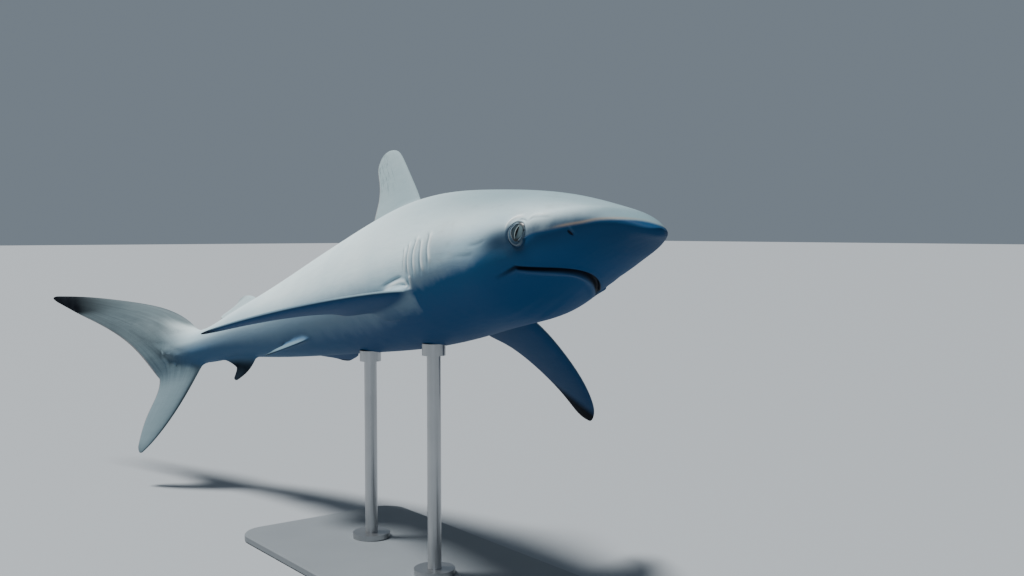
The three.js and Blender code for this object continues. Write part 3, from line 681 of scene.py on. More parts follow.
# Rows of foil sections from root to tip, half as thick as the root of the chord share times a power
# of what is left of it, swelling into a quarter circle where they reach the body. Beside the mesh,
# each point's share of span, share of chord and side.
def finMesh(name, fin, lay):
    length = shark["length"]
    knots = np.linspace(0, 1, len(fin["lead"]))
    lead, trail = (np.array(fin[k]) / 100 * length for k in ("lead", "trail"))
    q = 1 - (1 - np.linspace(0, 1, fin["rows"])) ** foil["crowding"]
    leadAt, trailAt = (np.stack([spline(knots, edge[:, k])(q) for k in (0, 1)], -1) for edge in (lead, trail))
    turn = np.pi * np.linspace(0, 1, fin["columns"])
    turn = np.concatenate([turn, turn[::-1]])
    side = np.repeat([1.0, -1.0], fin["columns"])
    c = (1 - np.cos(turn)) / 2
    half = fin["thick"] / 200 * length * np.sqrt(1 - q) * (1 - foil["taper"] * q)
    section = foil["fullness"] * np.sqrt(c) * (1 - c) ** foil["fining"]
    pastTip = np.clip((q - foil["tipStart"]) / (1 - foil["tipStart"]), 0, 1)
    tip = atLeast(foil["tipChord"], np.sqrt(1 - pastTip**2))
    chord = 0.5 + (c[None, :] - 0.5) * tip[:, None]
    flat = leadAt[:, None] + (trailAt - leadAt)[:, None] * chord[..., None]
    thick = side * (half[:, None] * section + foil["rimHalf"])
    out = bodyDistance(lay(flat[..., 0], flat[..., 1], thick))
    near = np.clip(1 - out / fin["root"], 0, 1) * (1 - ease(*foil["filletEnds"], flat[..., 0] / length))
    swell = fin["root"] * (1 - np.sqrt(np.clip(1 - near**2, 0, 1)))
    back = flat[..., 0] - swell * np.cos(turn)
    grid = posed(lay(back, flat[..., 1], thick + swell * side * np.sin(turn)))
    share = np.stack(np.broadcast_arrays(q[:, None], c[None, :], side[None, :]), -1).reshape(-1, 3)
    return closedTube(name, grid), grid.reshape(-1, 3), share


# Index and distance of the nearest sample for each point, in slices that fit in memory.
def nearest(points, samples, sliceSize=4_000_000):
    index, away = np.zeros(len(points), int), np.zeros(len(points))
    for part in np.array_split(np.arange(len(points)), max(1, len(points) * len(samples) // sliceSize)):
        gap = ((points[part, None, :] - samples[None]) ** 2).sum(-1)
        index[part] = gap.argmin(1)
        away[part] = np.sqrt(gap[np.arange(len(part)), index[part]])
    return index, away


# Each step moves a point part of the way to the mean of its neighbours.
def relax(points, edges, weight, rounds):
    a, b = edges.T
    count = np.maximum(np.bincount(np.concatenate([a, b]), minlength=len(points)), 1)
    for _ in range(rounds):
        sums = [np.bincount(a, points[b, k], len(points)) + np.bincount(b, points[a, k], len(points))
                for k in range(3)]
        points = points + (np.stack(sums, 1) / count[:, None] - points) * weight[:, None]
    return points


def hasMoved(points, samples):  # true for a point that is none of the samples, by rounded places
    def key(places):
        return np.round(places * 1e5).astype(np.int64) @ np.array([1, 4_000_003, 16_000_000_000_057])

    return ~np.isin(key(points), key(np.asarray(samples, np.float32).astype(float)))


def addNumbers(mesh, name, values):  # one number per point, which a finish reads by its name
    mesh.attributes.new(name, "FLOAT", "POINT").data.foreach_set("value", np.asarray(values, np.float32))


def addVectors(mesh, name, values):
    layer = mesh.attributes.new(name, "FLOAT_VECTOR", "POINT")
    layer.data.foreach_set("vector", np.asarray(values, np.float32).ravel())


# Union of the body and every fin, as one object; also the body's points and each fin's.
def joinFins():
    mesh, bodyPoints = bodyMesh()
    body = meshObject("silky_shark_skin", mesh)
    fins, tools = {}, []
    for name, fin in {**middleFins, **pairedFins}.items():
        finPiece, *fins[name] = finMesh(name, fin, onSide(fin) if "side" in fin else onMiddle)
        tools.append(meshObject("tool_" + name, finPiece))
        join = body.modifiers.new(name, "BOOLEAN")
        join.operation, join.object, join.solver = "UNION", tools[-1], "MANIFOLD"
    joined = bpy.data.meshes.new_from_object(body.evaluated_get(bpy.context.evaluated_depsgraph_get()))
    for tool in tools:
        bpy.data.objects.remove(tool)
    body.modifiers.clear()
    joined.materials.clear()
    body.data = joined
    print("shark: fins joined,", len(joined.vertices), "points")
    return body, bodyPoints, fins


# Which fin each point is nearest to, as a number from 1, how far away, and its shares on that fin.
def placesOnFins(points, fins, margin=0.004):
    share, owner, away = np.zeros((len(points), 3)), np.zeros(len(points), int), np.full(len(points), 1e9)
    for number, (samples, sampleShare) in enumerate(fins.values(), 1):
        low, high = samples.min(0) - margin, samples.max(0) + margin
        inside = np.flatnonzero(((points > low) & (points < high)).all(1))
        index, gap = nearest(points[inside], samples)
        nearer = gap < away[inside]
        chosen = inside[nearer]
        away[chosen], owner[chosen], share[chosen] = gap[nearer], number, sampleShare[index[nearer]]
    return share, owner, away


seams = {  # metres
    "same": 2e-5, "nearFin": 0.006, "nearBody": 0.004,  # a seam's points are on neither surface
    "box": 0.02, "fade": (0.002, 0.010), "pull": 0.6, "rounds": 10,
    "finGap": 0.0015, "finOut": 0.0005, "finBlend": (0.001, 0.016),  # where a point takes fin tones
    "tailStreaks": 0.76,  # share
}


# The finished skin: seams relaxed with a weight that fades away from them, then the numbers and
# places that its finish reads, all taken back on the straight shark.
def buildSkin():
    body, bodyPoints, fins = joinFins()
    mesh = body.data
    points, edges = np.empty(len(mesh.vertices) * 3, np.float32), np.empty(len(mesh.edges) * 2, np.int32)
    mesh.vertices.foreach_get("co", points)
    mesh.edges.foreach_get("vertices", edges)
    points = points.reshape(-1, 3).astype(float)
    finShare, finOf, finAway = placesOnFins(points, fins)
    outside = bodyDistance(straightened(points))
    seam = np.flatnonzero((finAway > seams["same"]) & (finAway < seams["nearFin"])
                          & (np.abs(outside) < seams["nearBody"]) & hasMoved(points, bodyPoints))
    low, high = points[seam].min(0) - seams["box"], points[seam].max(0) + seams["box"]
    box = np.flatnonzero(((points > low) & (points < high)).all(1))
    weight = np.zeros(len(points))
    weight[box] = seams["pull"] * (1 - ease(*seams["fade"], nearest(points[box], points[seam])[1]))
    points = relax(points, edges.reshape(-1, 2), weight, seams["rounds"])
    mesh.vertices.foreach_set("co", points.astype(np.float32).ravel())
    mesh.update()
    mesh.shade_smooth()
    print("shark: roots smoothed at", len(seam), "seam points")

    onFin = (finAway < seams["finGap"]) & (outside > seams["finOut"])
    straight = straightened(points)
    s, z = -straight[:, 0] / shark["length"], straight[:, 2]
    # Tones of the strokes: painted highlights on ridges, painted shade in creases and slits.
    tone = skinRelief(straight)[1]
    # gap: the painted shade in the mouth's gap; lip: the lower lip's paler band.
    gap, lip = mouthRelief(straight)[1:]
    top, bottom = profile(np.clip(s, shark["start"] + 1e-5, shark["end"]))[:2]
    streaked = onFin | (s > seams["tailStreaks"])
    blend = onFin * ease(*seams["finBlend"], outside)
    # finUnder: how much painted shade the underside of a paired fin takes.
    finPale, finUnder, finDark = finTones(list(fins), finOf, finShare) * blend
    addVectors(mesh, "straight", straight)
    for name, values in {
        "hollow": np.where(onFin, 0, gap), "strokeTone": np.where(onFin, 0, tone + lip),
        "rise": (z - bottom) / (top - bottom), "aboveEdge": (z - toneEdge(s)) * 1000,
        "finSpan": np.where(streaked, finShare[:, 0], 0), "finChord": np.where(streaked, finShare[:, 1], 0.5),
        "finPale": finPale, "finUnder": finUnder, "finDark": finDark,
    }.items():
        addNumbers(mesh, name, values)
    return body


# Height of the edge between the pale back in painted sunlight and the underside in painted shade, as
# (share, percent of the length): partly the shark's own countershading line, partly where the light from
# above gives way to shade.
edgeHeights = [
    (0.0, -0.3), (0.011, 0.01), (0.029, 0.05), (0.041, -0.07), (0.056, -0.12), (0.064, -0.16), (0.072, -0.20),
    (0.079, -0.20), (0.0845, -0.28), (0.0938, -0.60), (0.101, -0.50), (0.108, -0.38), (0.118, -0.58),
    (0.13, -0.92), (0.141, -1.15), (0.159, -1.36), (0.178, -1.5), (0.194, -1.66), (0.211, -1.85),
    (0.222, -2.05), (0.2275, -2.9), (0.24, -3.2), (0.30, -3.2), (0.38, -3.1), (0.45, -2.8), (0.58, -1.8),
    (0.66, -0.95), (0.74, -0.45), (1.0, -0.3),
]


def toneEdge(s):  # in metres, a monotone cubic through the heights
    return monotone(edgeHeights)(s) / 100 * shark["length"]


# Each fin's tones: how grey it is above, how deep its painted shade below, then its dark tip, as the share
# of the span where that starts and is full, its lean towards the trailing edge, and its strength.
finMarks = {
    "first_dorsal_fin": (1.0, 1.0, 0.90, 1.12, 0.10, 0.45),
    "second_dorsal_fin": (0.45, 0.45, 0.60, 1.10, 0.10, 0.50),
    "anal_fin": (0.4, 0.4, -0.10, 0.45, 0.00, 0.93),
    "caudal_fin_upper": (1.0, 1.0, 0.34, 0.80, 0.05, 1.0),
    "caudal_fin_lower": (1.0, 1.0, 0.80, 1.10, 0.00, 0.45),
    "pectoral_fin_left": (0.7, 1.0, 0.66, 0.80, 0.26, 1.0),
    "pectoral_fin_right": (0.7, 1.0, 0.76, 0.92, 0.16, 0.95),
    "pelvic_fin_left": (0.5, 1.0, 0.62, 0.95, 0.10, 0.80),
    "pelvic_fin_right": (0.8, 1.0, 0.55, 0.95, 0.10, 0.60),
}


# Grey above, depth of the painted shade below and darkness of every point, in three rows: constants of its
# fin, and an ease along the span, leant by the share of chord, for the tip.
def finTones(names, finOf, finShare):
    grey, deep, dark = np.zeros((3, len(finOf)))
    for number, name in enumerate(names, 1):
        above, below, start, full, lean, strength = finMarks[name]
        mine = finOf == number
        under = mine & (finShare[:, 2] < 0) & (name in pairedFins)
        grey[mine], deep[under] = above, below
        span = finShare[mine, 0] + lean * (finShare[mine, 1] - 0.5)
        dark[mine] = strength * ease(start, full, span)
    return np.stack([grey, deep, dark])


# A socket in a node tree: sums on it add nodes, so a pattern reads as an expression.
class Wire:
    def __init__(self, tree, socket=None):
        self.tree = tree
        self.socket = socket

    def add(self, kind, settings=None, values=None, out=0):  # any node: its settings, then its sockets
        node = self.tree.nodes.new(kind)
        for name, value in (settings or {}).items():
            setattr(node, name, value)
        for key, value in (values or {}).items():
            if isinstance(value, Wire):
                self.tree.links.new(value.socket, node.inputs[key])
            else:
                node.inputs[key].default_value = value
        return Wire(self.tree, node.outputs[out]) if node.outputs else None

    def sum(self, operation, *terms):
        return self.add("ShaderNodeMath", {"operation": operation}, dict(enumerate(terms)))

    def __add__(self, other):
        return self.sum("ADD", self, other)

    __radd__ = __add__

    def __sub__(self, other):
        return self.sum("SUBTRACT", self, other)

    def __rsub__(self, other):
        return self.sum("SUBTRACT", other, self)

    def __mul__(self, other):
        return self.sum("MULTIPLY", self, other)

    __rmul__ = __mul__

    def __truediv__(self, other):
        return self.sum("DIVIDE", self, other)

    def __neg__(self):
        return self * -1.0

    def ease(self, low, high):  # smooth 0 to 1 between two values, in either order
        if low > high:
            return 1 - self.ease(high, low)
        return self.add("ShaderNodeMapRange", {"interpolation_type": "SMOOTHSTEP"},
                        {"Value": self, "From Min": low, "From Max": high})

    def bell(self, width):  # e to the minus square of this over the width
        scaled = self / width
        return self.sum("EXPONENT", -(scaled * scaled))

    def most(self, other):
        return self.sum("MAXIMUM", self, other)

    def root(self):
        return self.sum("SQRT", self)

    def hypot(self, other):  # root of the sum of both squares
        return (self * self + other * other).root()

    def mix(self, low, high):  # colour low where this is 0 or less and high where it is 1 or more
        return self.add("ShaderNodeMix", {"data_type": "RGBA"}, {0: self, 6: low, 7: high}, out=2)

    def join(self, x, y, z=0.0):  # three numbers as one vector
        return self.add("ShaderNodeCombineXYZ", values={0: x, 1: y, 2: z})

    def parts(self):  # a vector's three numbers
        return [self.add("ShaderNodeSeparateXYZ", values={0: self}, out=k) for k in range(3)]

    def stretch(self, x, y, z):
        return self.add("ShaderNodeVectorMath", {"operation": "MULTIPLY"}, {0: self, 1: (x, y, z)})

    def noise(self, scale, detail=3.0, roughness=0.5):
        values = {"Vector": self, "Scale": scale, "Detail": detail, "Roughness": roughness}
        return self.add("ShaderNodeTexNoise", values=values)

    def number(self, name):
        return self.add("ShaderNodeAttribute", {"attribute_name": name}, out=2)

    def vector(self, name):
        return self.add("ShaderNodeAttribute", {"attribute_name": name}, out=1)

    def objectPlace(self):
        return self.add("ShaderNodeTexCoord", out=3)


# Display values of 0 to 255 to scene values: a straight foot, then a power of 2.4.
def colour(red, green, blue):
    return tuple(c / 12.92 if c <= 0.04045 else ((c + 0.055) / 1.055) ** 2.4
                 for c in (v / 255 for v in (red, green, blue))) + (1.0,)


# A material with its one shader; fixed holds constants and what build gives holds wires.
def finish(name, build, fixed):
    material = bpy.data.materials.new(name)
    material.use_nodes = True
    tree = material.node_tree
    tree.nodes.clear()
    sheet = Wire(tree)
    shader = sheet.add("ShaderNodeBsdfPrincipled", values={**fixed, **build(sheet)})
    sheet.add("ShaderNodeOutputMaterial", values={"Surface": shader})
    return material


def bumped(sheet, *layers):  # layers of (height, distance in metres), one bump over another
    normal = {}
    for height, distance in layers:
        values = {"Height": height, "Distance": distance, "Strength": 1.0, **normal}
        normal = {"Normal": sheet.add("ShaderNodeBump", values=values)}
    return normal


# Colours: the pale back stands for sunlit skin; the blue-greys and deep blues of flank, crown, shade, the
# band between back and underside, the snout's brink, the underside and the fin undersides are painted shade;
# the palest tone is a painted highlight; the tail's pale tone a painted lit lobe; the warm rim painted light
# through a fin's trailing edge; the groove tone the painted shade of openings.
tones = {
    "back": colour(224, 238, 238), "backCool": colour(180, 202, 210), "flank": colour(106, 136, 154),
    "crownShade": colour(84, 115, 126), "shade": colour(30, 54, 76), "mottle": colour(150, 146, 138),
    "between": colour(98, 118, 134), "brinkShade": colour(14, 54, 88), "edge": colour(142, 122, 104),
    "under": colour(20, 84, 124), "underDeep": colour(12, 62, 102), "pale": colour(236, 242, 240),
    "dark": colour(4, 10, 20), "groove": colour(3, 8, 18), "lid": colour(78, 102, 118),
    "caudal": colour(88, 104, 110), "caudalDark": colour(50, 64, 72), "caudalLit": colour(142, 162, 168),
    "fin": colour(124, 146, 152), "finUnder": colour(8, 58, 102), "rim": colour(150, 132, 128),
}
# Noises: how far each is drawn out along the body, then scale, detail and roughness.
grain = {
    "broad": (1.0, 7.0, 2.0, 0.5), "cloud": (1.0, 38.0, 4.0, 0.55), "streak": (0.2, 80.0, 4.0, 0.6),
    "fine": (1.0, 850.0, 2.0, 0.6), "blotch": (0.5, 55.0, 5.0, 0.65),
}
# Stretches of the body, as the shares of its length where a mark is nought and where it is full.
stretches = {
    "softHead": (0.10, 0.14), "softFlank": (0.20, 0.36), "softTail": (0.74, 0.45),
    "wanderHead": (0.075, 0.2), "wanderTail": (0.75, 0.3),
    "shadeTowardsEdge": (0.08, 0.16), "mottle": (0.34, 0.10), "crownShade": (0.42, 0.12), "snoutTop": (0.095, 0.015),
    "brinkSnout": (0.012, 0.045), "brinkCheek": (0.135, 0.10), "chin": (0.12, 0.10),
    "snoutUnder": (0.075, 0.02), "rearUnder": (0.36, 0.60), "between": (0.10, 0.15),
    "edgeSnout": (0.004, 0.02), "edgeEye": (0.066, 0.05), "tail": (0.73, 0.80), "tailRoot": (0.70, 0.74),
}


# Wires that every part of the skin's finish reads: the place on the straight shark and from its eye,
# the mesh's own numbers and the noises.
def skinPlaces(sheet):
    straight = sheet.vector("straight")
    x, _, z = straight.parts()
    share = x * (-1 / shark["length"])
    at = SimpleNamespace(z=z, share=share)
    at.back, at.up = (share - eye["share"]) * shark["length"], z - eye["height"] * shark["length"]
    for name in ("rise", "aboveEdge", "finSpan", "finChord", "finPale", "finUnder", "finDark",
                 "strokeTone", "hollow"):
        setattr(at, name, sheet.number(name))
    for name, (drawn, *settings) in grain.items():
        setattr(at, name, straight.stretch(drawn, 1.0, 1.0).noise(*settings))
    return at


def along(at, *names):  # product of the named stretches
    eased = [at.share.ease(*stretches[name]) for name in names]
    return eased[0] if len(eased) == 1 else eased[0] * eased[1]


# Lays tones over a base, each where its mask is, as strongly as its number.
def paintOver(base, *rows):
    for mask, strength, tone in rows:
        mask = mask if strength == 1 else mask * strength
        base = mask.mix(base, tone if isinstance(tone, Wire) else tones[tone])
    return base


# Millimetres: softness of the edge between the painted sunlit back and the painted shade below on the snout,
# and what the head and the flank add; how far it wanders on the snout and more on the flank; heights over it
# of other marks.
edgeLook = {
    "soft": (2.0, 12, 26), "wander": (2, 14),
    "shadeTowardsEdge": (60.0, 8.0), "brinkShade": (24.0, 3.0), "chin": (-24.0, -4.0), "warm": (1.6, 1.5),
}
archShade = {"share": 0.186, "length": 0.020, "height": -0.004, "tall": 0.026, "strength": 0.30}


# Pale back in painted sunlight over a deep blue underside in painted shade, on the line of the shark's
# countershading: the height over the edge, with a wandering part, over a softness that is small on the
# snout and large on the flank. Also how much of it is back.
def bodyTones(at):
    above, cloud = at.aboveEdge, at.cloud
    onSnout, onHead, onFlank = edgeLook["soft"]
    soft = onSnout + onHead * along(at, "softHead") + onFlank * along(at, "softFlank", "softTail")
    least, more = edgeLook["wander"]
    wander = (cloud - 0.5) * (least + more * along(at, "wanderHead", "wanderTail"))
    tone = ((above + wander) / soft).ease(-1.0, 1.0)
    # Painted shade: the back darkens towards the edge with the underside, where the light from above falls
    # off.
    shadeTowardsEdge = above.ease(*edgeLook["shadeTowardsEdge"]) * along(at, "shadeTowardsEdge")
    # Painted shade on the top of the head and the snout.
    crownShade = (at.rise.ease(0.50, 0.92) * along(at, "crownShade") * 0.9).most(along(at, "snoutTop"))
    # Painted shade on the pale side just above the edge, from the snout to beside the eye.
    brinkShade = above.ease(*edgeLook["brinkShade"]) * along(at, "brinkSnout", "brinkCheek") * (0.62 + 0.5 * cloud)
    # Painted shade about the gill arches.
    gillArchShade = (at.share - archShade["share"]).bell(archShade["length"])
    gillArchShade = gillArchShade * (at.z - archShade["height"]).bell(archShade["tall"]) * archShade["strength"]
    # Random tone of the back, cooler and darker towards the edge as painted shade.
    back = (at.broad * 0.9 + at.streak * 0.35 - 0.15 - 0.5 * shadeTowardsEdge).mix(tones["backCool"], tones["back"])
    back = paintOver(
        back, (shadeTowardsEdge, 0.4, "flank"),
        (at.blotch.ease(0.50, 0.72) * along(at, "mottle"), 0.22, "mottle"),
        (crownShade * (0.88 + 0.5 * (at.broad - 0.5)), 0.95, "crownShade"),
        (brinkShade.most(gillArchShade), 1, "shade"))
    # Painted shade under the snout and just below the snout's edge and the eye.
    near = above.ease(*edgeLook["chin"]) * along(at, "chin")  # just below the snout's edge and the eye
    # The deep blue underside is painted shade, deepest low on the body, and paler towards the tail.
    under = (at.rise + (cloud - 0.5) * 0.08).ease(0.05, 0.5).mix(tones["underDeep"], tones["under"])
    under = paintOver(under, (along(at, "snoutUnder").most(near), 0.9, "brinkShade"),
                      (along(at, "rearUnder"), 0.26, "flank"))
    # A mid blue-grey band along the middle of the edge, part of the painted shade's soft edge.
    between = tone * (1 - tone) * 4 * along(at, "between") * (0.35 + 0.5 * cloud)
    height, width = edgeLook["warm"]
    warm = (above - height).bell(width) * along(at, "edgeSnout", "edgeEye")
    return paintOver(tone.mix(under, back), (between, 1, "between"), (warm, 0.5, "edge")), tone


# Tail: grey with long streaks and darker borders, its lower lobe paler as painted light. Other fins: a little
# greyer above, deep blue painted shade below, with thin rims, the one at the trailing edge painted light
# through the thin fin, faint scratches and dark tips.
def finLayers(sheet, at, base):
    span, chord, cloud = at.finSpan, at.finChord, at.cloud
    root = along(at, "tailRoot")
    tail = along(at, "tail").most(at.finPale * root)
    rays = sheet.join(span * 2.2, chord * 16.0, at.share * 2.0).noise(1.4, 4.0, 0.6)
    tailTone = (rays * 1.7 - 0.45 + 0.35 * cloud).mix(tones["caudalDark"], tones["caudal"])
    # The lower lobe paler: painted light.
    tailTone = paintOver(tailTone, (at.z.ease(-0.03, -0.08), 0.6, "caudalLit"))
    grey = at.finPale * (1 - root)
    scratch = sheet.join(span * 6.0, chord * 30.0).noise(1.0, 3.0, 0.7).ease(0.52, 0.64)
    scratch = scratch * span.ease(0.35, 0.5) * chord.ease(0.30, 0.55) * grey
    # Painted shade on the undersides of the paired fins.
    deep = (0.4 + 0.6 * cloud).mix(tones["finUnder"], tones["underDeep"])
    onFin = span.ease(0.10, 0.30)
    return paintOver(
        base, (tail, 0.88, tailTone), (grey, 0.7, "fin"), (scratch, 0.5, "caudalDark"),
        (at.finUnder, 0.95, deep),
        # A warm line along the trailing edge: painted light shining through the thin fin.
        ((1 - chord).bell(0.02) * onFin, 0.6, "rim"),
        (chord.bell(0.02) * onFin * (0.25 + 0.5 * tail), 1, "caudalDark"),
        (at.finDark * (0.88 + 0.2 * cloud), 1, "dark"))


# Metres from the eye: centre back and up, length, height, and where it starts behind the eye.
eyeShades = {
    "wide": (0.085, -0.007, 0.060, 0.0145, (0.0, 0.02)),
    "deep": (0.037, -0.008, 0.033, 0.0165, (-0.004, 0.012)),
}


def shadeBehind(at, name):  # product of two bells and the ease that keeps it behind the eye
    back, up, length, height, start = eyeShades[name]
    return (at.back - back).bell(length) * (at.up - up).bell(height) * at.back.ease(*start)


# Painted shades behind the eye, then painted highlights on gill arches, brow and shoulder, painted shade in
# creases and slits, and the lips, by their stroke's tone.
def headLayers(at, base, tone):
    return paintOver(
        base, (shadeBehind(at, "wide") * (0.35 + 0.5 * at.cloud), 1, "flank"),
        (shadeBehind(at, "deep"), 0.95, "shade"),
        # Pale strokes, painted highlights, and the lip's paler band, stronger where the back is painted
        # sunlit.
        (at.strokeTone.most(0.0) * (0.25 + 0.65 * tone), 1, "pale"),
        # Dark strokes are painted shade in creases and slits.
        ((-at.strokeTone).most(0.0), 0.85, "shade"))


# Nostril: a slanted slot, the product of two bells, dark as painted shade, with a paler flap before it. Also
# its ridges.
def nostrilLayers(at, base):
    back = (at.share - nostril["share"]) * shark["length"]
    up = at.z - nostril["height"] * shark["length"]
    low, high = nostril["slant"]
    length, aside = (back * low + up * high).bell(nostril["length"]), back * high - up * low
    slot = (length * aside.bell(nostril["width"])).ease(0.25, 0.75)
    flap = length * (aside + nostril["flapAhead"]).bell(nostril["flapWidth"])
    return paintOver(base, (flap, 0.12, "flank"), (slot, 0.92, "groove")), flap * 0.8 - slot * 1.6


# Metres outside the lid ring's radius, or the opening's, and width of each line; then where the lid
# counts as behind the eye and as its lower half.
lidLines = {
    "rim": (-0.0007, 0.0008), "innerRim": (0.0009, 0.0007), "socket": (0.0013, 0.0012),
    "socketShade": (0.0032, 0.0030), "socketDrift": 0.001, "edge": (0.0006, -0.0006),
    "pitEdge": (0.0002, -0.0004), "behind": (-0.004, 0.012), "lower": (-0.003, -0.013),
}


# The eye's lid ring: pale rims at its edge and round the opening, painted highlights strongest behind the eye
# and weakest below, a cooler dish between them, darker in its lower half as painted shade, and a dark socket
# outside in painted shade, each a bell of the distance from its oval; inside the opening, the painted shade
# of the pit. Also its ridges.
def lidLayers(at, base):
    ring = ((at.back - eye["ringBack"]) / eye["stretch"]).hypot(at.up + eye["ringDrop"])
    opening = (at.back / eye["stretch"]).hypot(at.up)
    behind = (at.back * 0.8 - at.up * 0.6).ease(*lidLines["behind"])
    lower = at.up.ease(*lidLines["lower"])
    past, pastOpening = ring - eye["ringRadius"], opening - eye["openRadius"]

    def line(distance, name):
        place, width = lidLines[name]
        return (distance - place).bell(width)

    rim, innerRim = line(past, "rim"), line(pastOpening, "innerRim")
    socket = line(past - lidLines["socketDrift"] * behind, "socket") * (0.75 + 0.25 * behind)
    socket = socket.most(line(past, "socketShade") * behind * 0.9)
    dish = (0.35 + 0.5 * at.cloud).mix(tones["shade"], tones["lid"])
    base = paintOver(
        base, (past.ease(*lidLines["edge"]), 0.95, paintOver(dish, (lower, 0.5, "shade"))),
        # Painted highlight on the rims.
        (rim.most(innerRim) * (0.04 + 0.30 * behind) * (1 - 0.6 * lower), 1, "pale"),
        # Painted shade in the socket.
        (socket, 0.9, "shade"),
        # Painted shade of the pit round the eye.
        (pastOpening.ease(*lidLines["pitEdge"]), 1, "groove"))
    return base, rim * 0.8 + innerRim * 0.7 - socket * 0.8


skinGloss = {
    "fixed": {"Specular IOR Level": 0.07},
    "rough": 0.46, "cloud": 0.12, "fine": 0.08, "darkTips": 0.25,  # roughness, and what adds to it
    "bump": {"fine": 0.00022, "streak": 0.0005, "ridges": 0.0009},  # metres
}


def skinFinish(sheet):  # every layer in turn, the gap of the mouth last
    at = skinPlaces(sheet)
    base, tone = bodyTones(at)
    base = headLayers(at, finLayers(sheet, at, base), tone)
    base, nostrilRidges = nostrilLayers(at, base)
    base, lidRidges = lidLayers(at, base)
    # Painted shade in the gap of the mouth, last.
    base = paintOver(base, (at.hollow, 0.97, "groove"))
    rough = skinGloss["rough"] + skinGloss["cloud"] * at.cloud + skinGloss["fine"] * at.fine
    rough = rough + skinGloss["darkTips"] * at.finDark
    heights = {"fine": at.fine, "streak": at.streak, "ridges": lidRidges + nostrilRidges}
    bump = bumped(sheet, *((heights[name], depth) for name, depth in skinGloss["bump"].items()))
    return {"Base Color": base, "Roughness": rough, **bump}


skinPiece = buildSkin()
skinPiece.data.materials.append(finish("shark_skin", skinFinish, skinGloss["fixed"]))
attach(skinPiece, "root")
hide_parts("head", "lower_jaw", "trunk", "tail_stem", "first_dorsal_fin", "second_dorsal_fin",
            "anal_fin", "pectoral_fin_left", "pectoral_fin_right", "pelvic_fin_left", "pelvic_fin_right",
            "caudal_fin_upper", "caudal_fin_lower")
print("shark: skin finished")


# Dome of an eye: an ellipsoid on a grid of polar angle and turn, laid on the flank's own slope and
# turned a little towards the snout. Its own places are kept in millimetres for the finish.
def eyeMesh(side):
    length, step, radius, depth = shark["length"], eye["spacing"], eye["domeRadius"], eye["domeDepth"]
    height = eye["height"] * length

    def onFlank(ahead, above):
        s, z = eye["share"] + ahead, height + above * length
        return np.array([-s * length, side * float(halfWidthAt(s, z)), z])

    def unit(vector):
        return vector / np.linalg.norm(vector)

    above = unit(onFlank(0, step) - onFlank(0, -step))
    outward = unit(-side * np.cross(unit(onFlank(-step, 0) - onFlank(step, 0)), above))
    level = np.cross(above, outward)
    outward = outward * np.cos(eye["turn"]) + level * np.sign(level[0]) * np.sin(eye["turn"])
    level = np.cross(above, outward)
    rows, columns = eye["domeGrid"]
    polar = np.linspace(eye["pole"], np.pi - eye["pole"], rows)[:, None]
    turn = np.linspace(0, 2 * np.pi, columns + 1)[None, :-1]
    across, up = radius * np.sin(polar) * np.cos(turn), radius * np.sin(polar) * np.sin(turn)
    deep = np.broadcast_to(depth * np.cos(polar), across.shape)
    grid = across[..., None] * level + up[..., None] * above + deep[..., None] * outward
    mesh = closedTube("eye", posed(onFlank(0, 0) - outward * eye["sink"] + grid))
    disc = np.stack([across.ravel() * side, up.ravel(), deep.ravel()], 1)
    addVectors(mesh, "disc", np.vstack([disc, [0, 0, depth], [0, 0, -depth]]) * 1000)
    return mesh


iris = {  # millimetres and radians
    "slitTilt": -0.30, "slitHalf": 1.7, "slitLength": 6.0, "edge": (7.2, 9.2),
    "dark": colour(20, 34, 42), "pale": colour(80, 98, 104), "line": colour(176, 192, 192),
    "rim": colour(16, 24, 30), "pupil": colour(2, 3, 5),
}


# Grey iris with spokes, paler in the half towards the snout, a bright line behind the slit as a painted
# glint;
# the slit's half width is the root of 1 - the square of its own length share.
def eyeFinish(sheet):
    across, up, _ = sheet.vector("disc").parts()
    c, s = float(np.cos(iris["slitTilt"])), float(np.sin(iris["slitTilt"]))
    u, v = across * c - up * s, across * s + up * c
    v = v / iris["slitLength"]
    off = u.sum("ABSOLUTE", u) - iris["slitHalf"] * (1 - v * v).most(0.0).root()
    radius = across.hypot(up)
    spokes = sheet.join(sheet.sum("ARCTAN2", up, across) * 2.5, radius * 0.25).noise(4.0, 4.0, 0.6)
    front = across.ease(1.5, -5.0)
    base = (spokes * 0.9 - 0.3 + 0.75 * front).mix(iris["dark"], iris["pale"])
    # Painted glint: a bright line beside the slit.
    base = ((off - 0.6).bell(0.5) * 0.6 * u.ease(-0.2, 1.0)).mix(base, iris["line"])
    base = off.ease(0.25, -0.15).mix(radius.ease(*iris["edge"]).mix(base, iris["rim"]), iris["pupil"])
    return {"Base Color": base, "Roughness": 0.3 + 0.1 * spokes}


wetEye = {"Coat Weight": 0.06, "Coat Roughness": 0.2, "Specular IOR Level": 0.25}
eyeMaterial = finish("wet_eye", eyeFinish, wetEye)
for sideName, side in (("left", 1), ("right", -1)):
    eyePiece = meshObject("shark_eye_" + sideName, eyeMesh(side))
    eyePiece.data.materials.append(eyeMaterial)
    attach(eyePiece, "root")
    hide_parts("eye_" + sideName)
print("shark: eyes set")

standTones = {
    "steel": (colour(150, 152, 154), colour(196, 198, 200)),
    "plate": (colour(96, 102, 108), colour(122, 128, 132)),
}


def steelFinish(sheet):  # brushed along the rods: noise drawn out in height
    place = sheet.objectPlace()
    lines, cloud = place.stretch(1.0, 1.0, 0.03).noise(700.0, 3.0, 0.6), place.noise(14.0, 3.0)
    base = (cloud * 0.7 + lines * 0.3).mix(*standTones["steel"])
    return {"Base Color": base, "Roughness": 0.24 + 0.16 * lines, **bumped(sheet, (lines, 0.00008))}


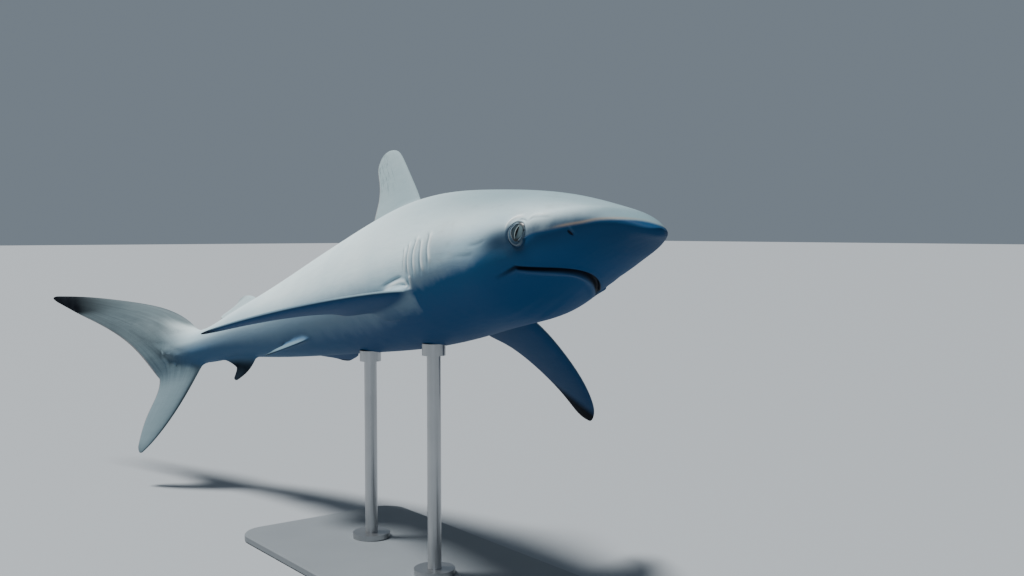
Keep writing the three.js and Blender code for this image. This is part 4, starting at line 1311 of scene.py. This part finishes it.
def plateFinish(sheet):  # satin paint with a fine grain
    place = sheet.objectPlace()
    cloud, speck = place.noise(6.0, 4.0), place.noise(900.0, 2.0)
    base = (cloud * 0.6 + speck * 0.4).mix(*standTones["plate"])
    return {"Base Color": base, "Roughness": 0.42 + 0.12 * speck, **bumped(sheet, (speck, 0.00012))}


steelMaterial = finish("brushed_steel", steelFinish, {"Metallic": 1.0, "Specular IOR Level": 0.5})
plateMaterial = finish("satin_plate", plateFinish, {"Specular IOR Level": 0.5})
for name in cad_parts:
    thing = bpy.data.objects.get(name) if name.startswith("stand_") else None
    if thing:
        thing.data.materials.clear()
        thing.data.materials.append(plateMaterial if name == "stand_base" else steelMaterial)
print("shark: stand finished")

room = {
    "floor": colour(146, 151, 156), "floorHalf": 40.0, "floorRoughness": 0.7,
    "world": colour(186, 202, 218), "worldStrength": 0.36,
}
h = room["floorHalf"]
floorMesh = bpy.data.meshes.new("floor")
floorMesh.from_pydata([(-h, -h, 0), (h, -h, 0), (h, h, 0), (-h, h, 0)], [], [(0, 1, 2, 3)])
floor = meshObject("floor", floorMesh)
paleFloor = {"Base Color": room["floor"], "Roughness": room["floorRoughness"]}
floorMesh.materials.append(finish("pale_floor", lambda sheet: {}, paleFloor))

world = bpy.data.worlds.new("studio")
world.use_nodes = True
backdrop = world.node_tree.nodes["Background"]
backdrop.inputs["Color"].default_value = room["world"]
backdrop.inputs["Strength"].default_value = room["worldStrength"]
scene.world = world

# name: kind, place, aim, size (metres, or degrees for the sun), strength, colour
lamps = {
    "softSun": ("SUN", (-0.9, -0.8, 3.2), (0.0, 0.0, 0.4), 14, 6.5, (1.0, 0.99, 0.96)),
    "frontFill": ("AREA", (2.6, -2.2, 1.6), (0.1, 0.0, 0.4), 2.0, 8, (0.85, 0.93, 1.0)),
}
for name, (kind, place, aim, size, power, tint) in lamps.items():
    data = bpy.data.lights.new(name, kind)
    data.energy, data.color = power, tint
    if kind == "SUN":
        data.angle = np.radians(size)
    else:
        data.shape, data.size = "DISK", size
    lamp = bpy.data.objects.new(name, data)
    lamp.location = place
    lamp.rotation_mode = "QUATERNION"
    lamp.rotation_quaternion = (Vector(aim) - Vector(place)).to_track_quat("-Z", "Y")
    scene.collection.objects.link(lamp)
print("shark: lit")
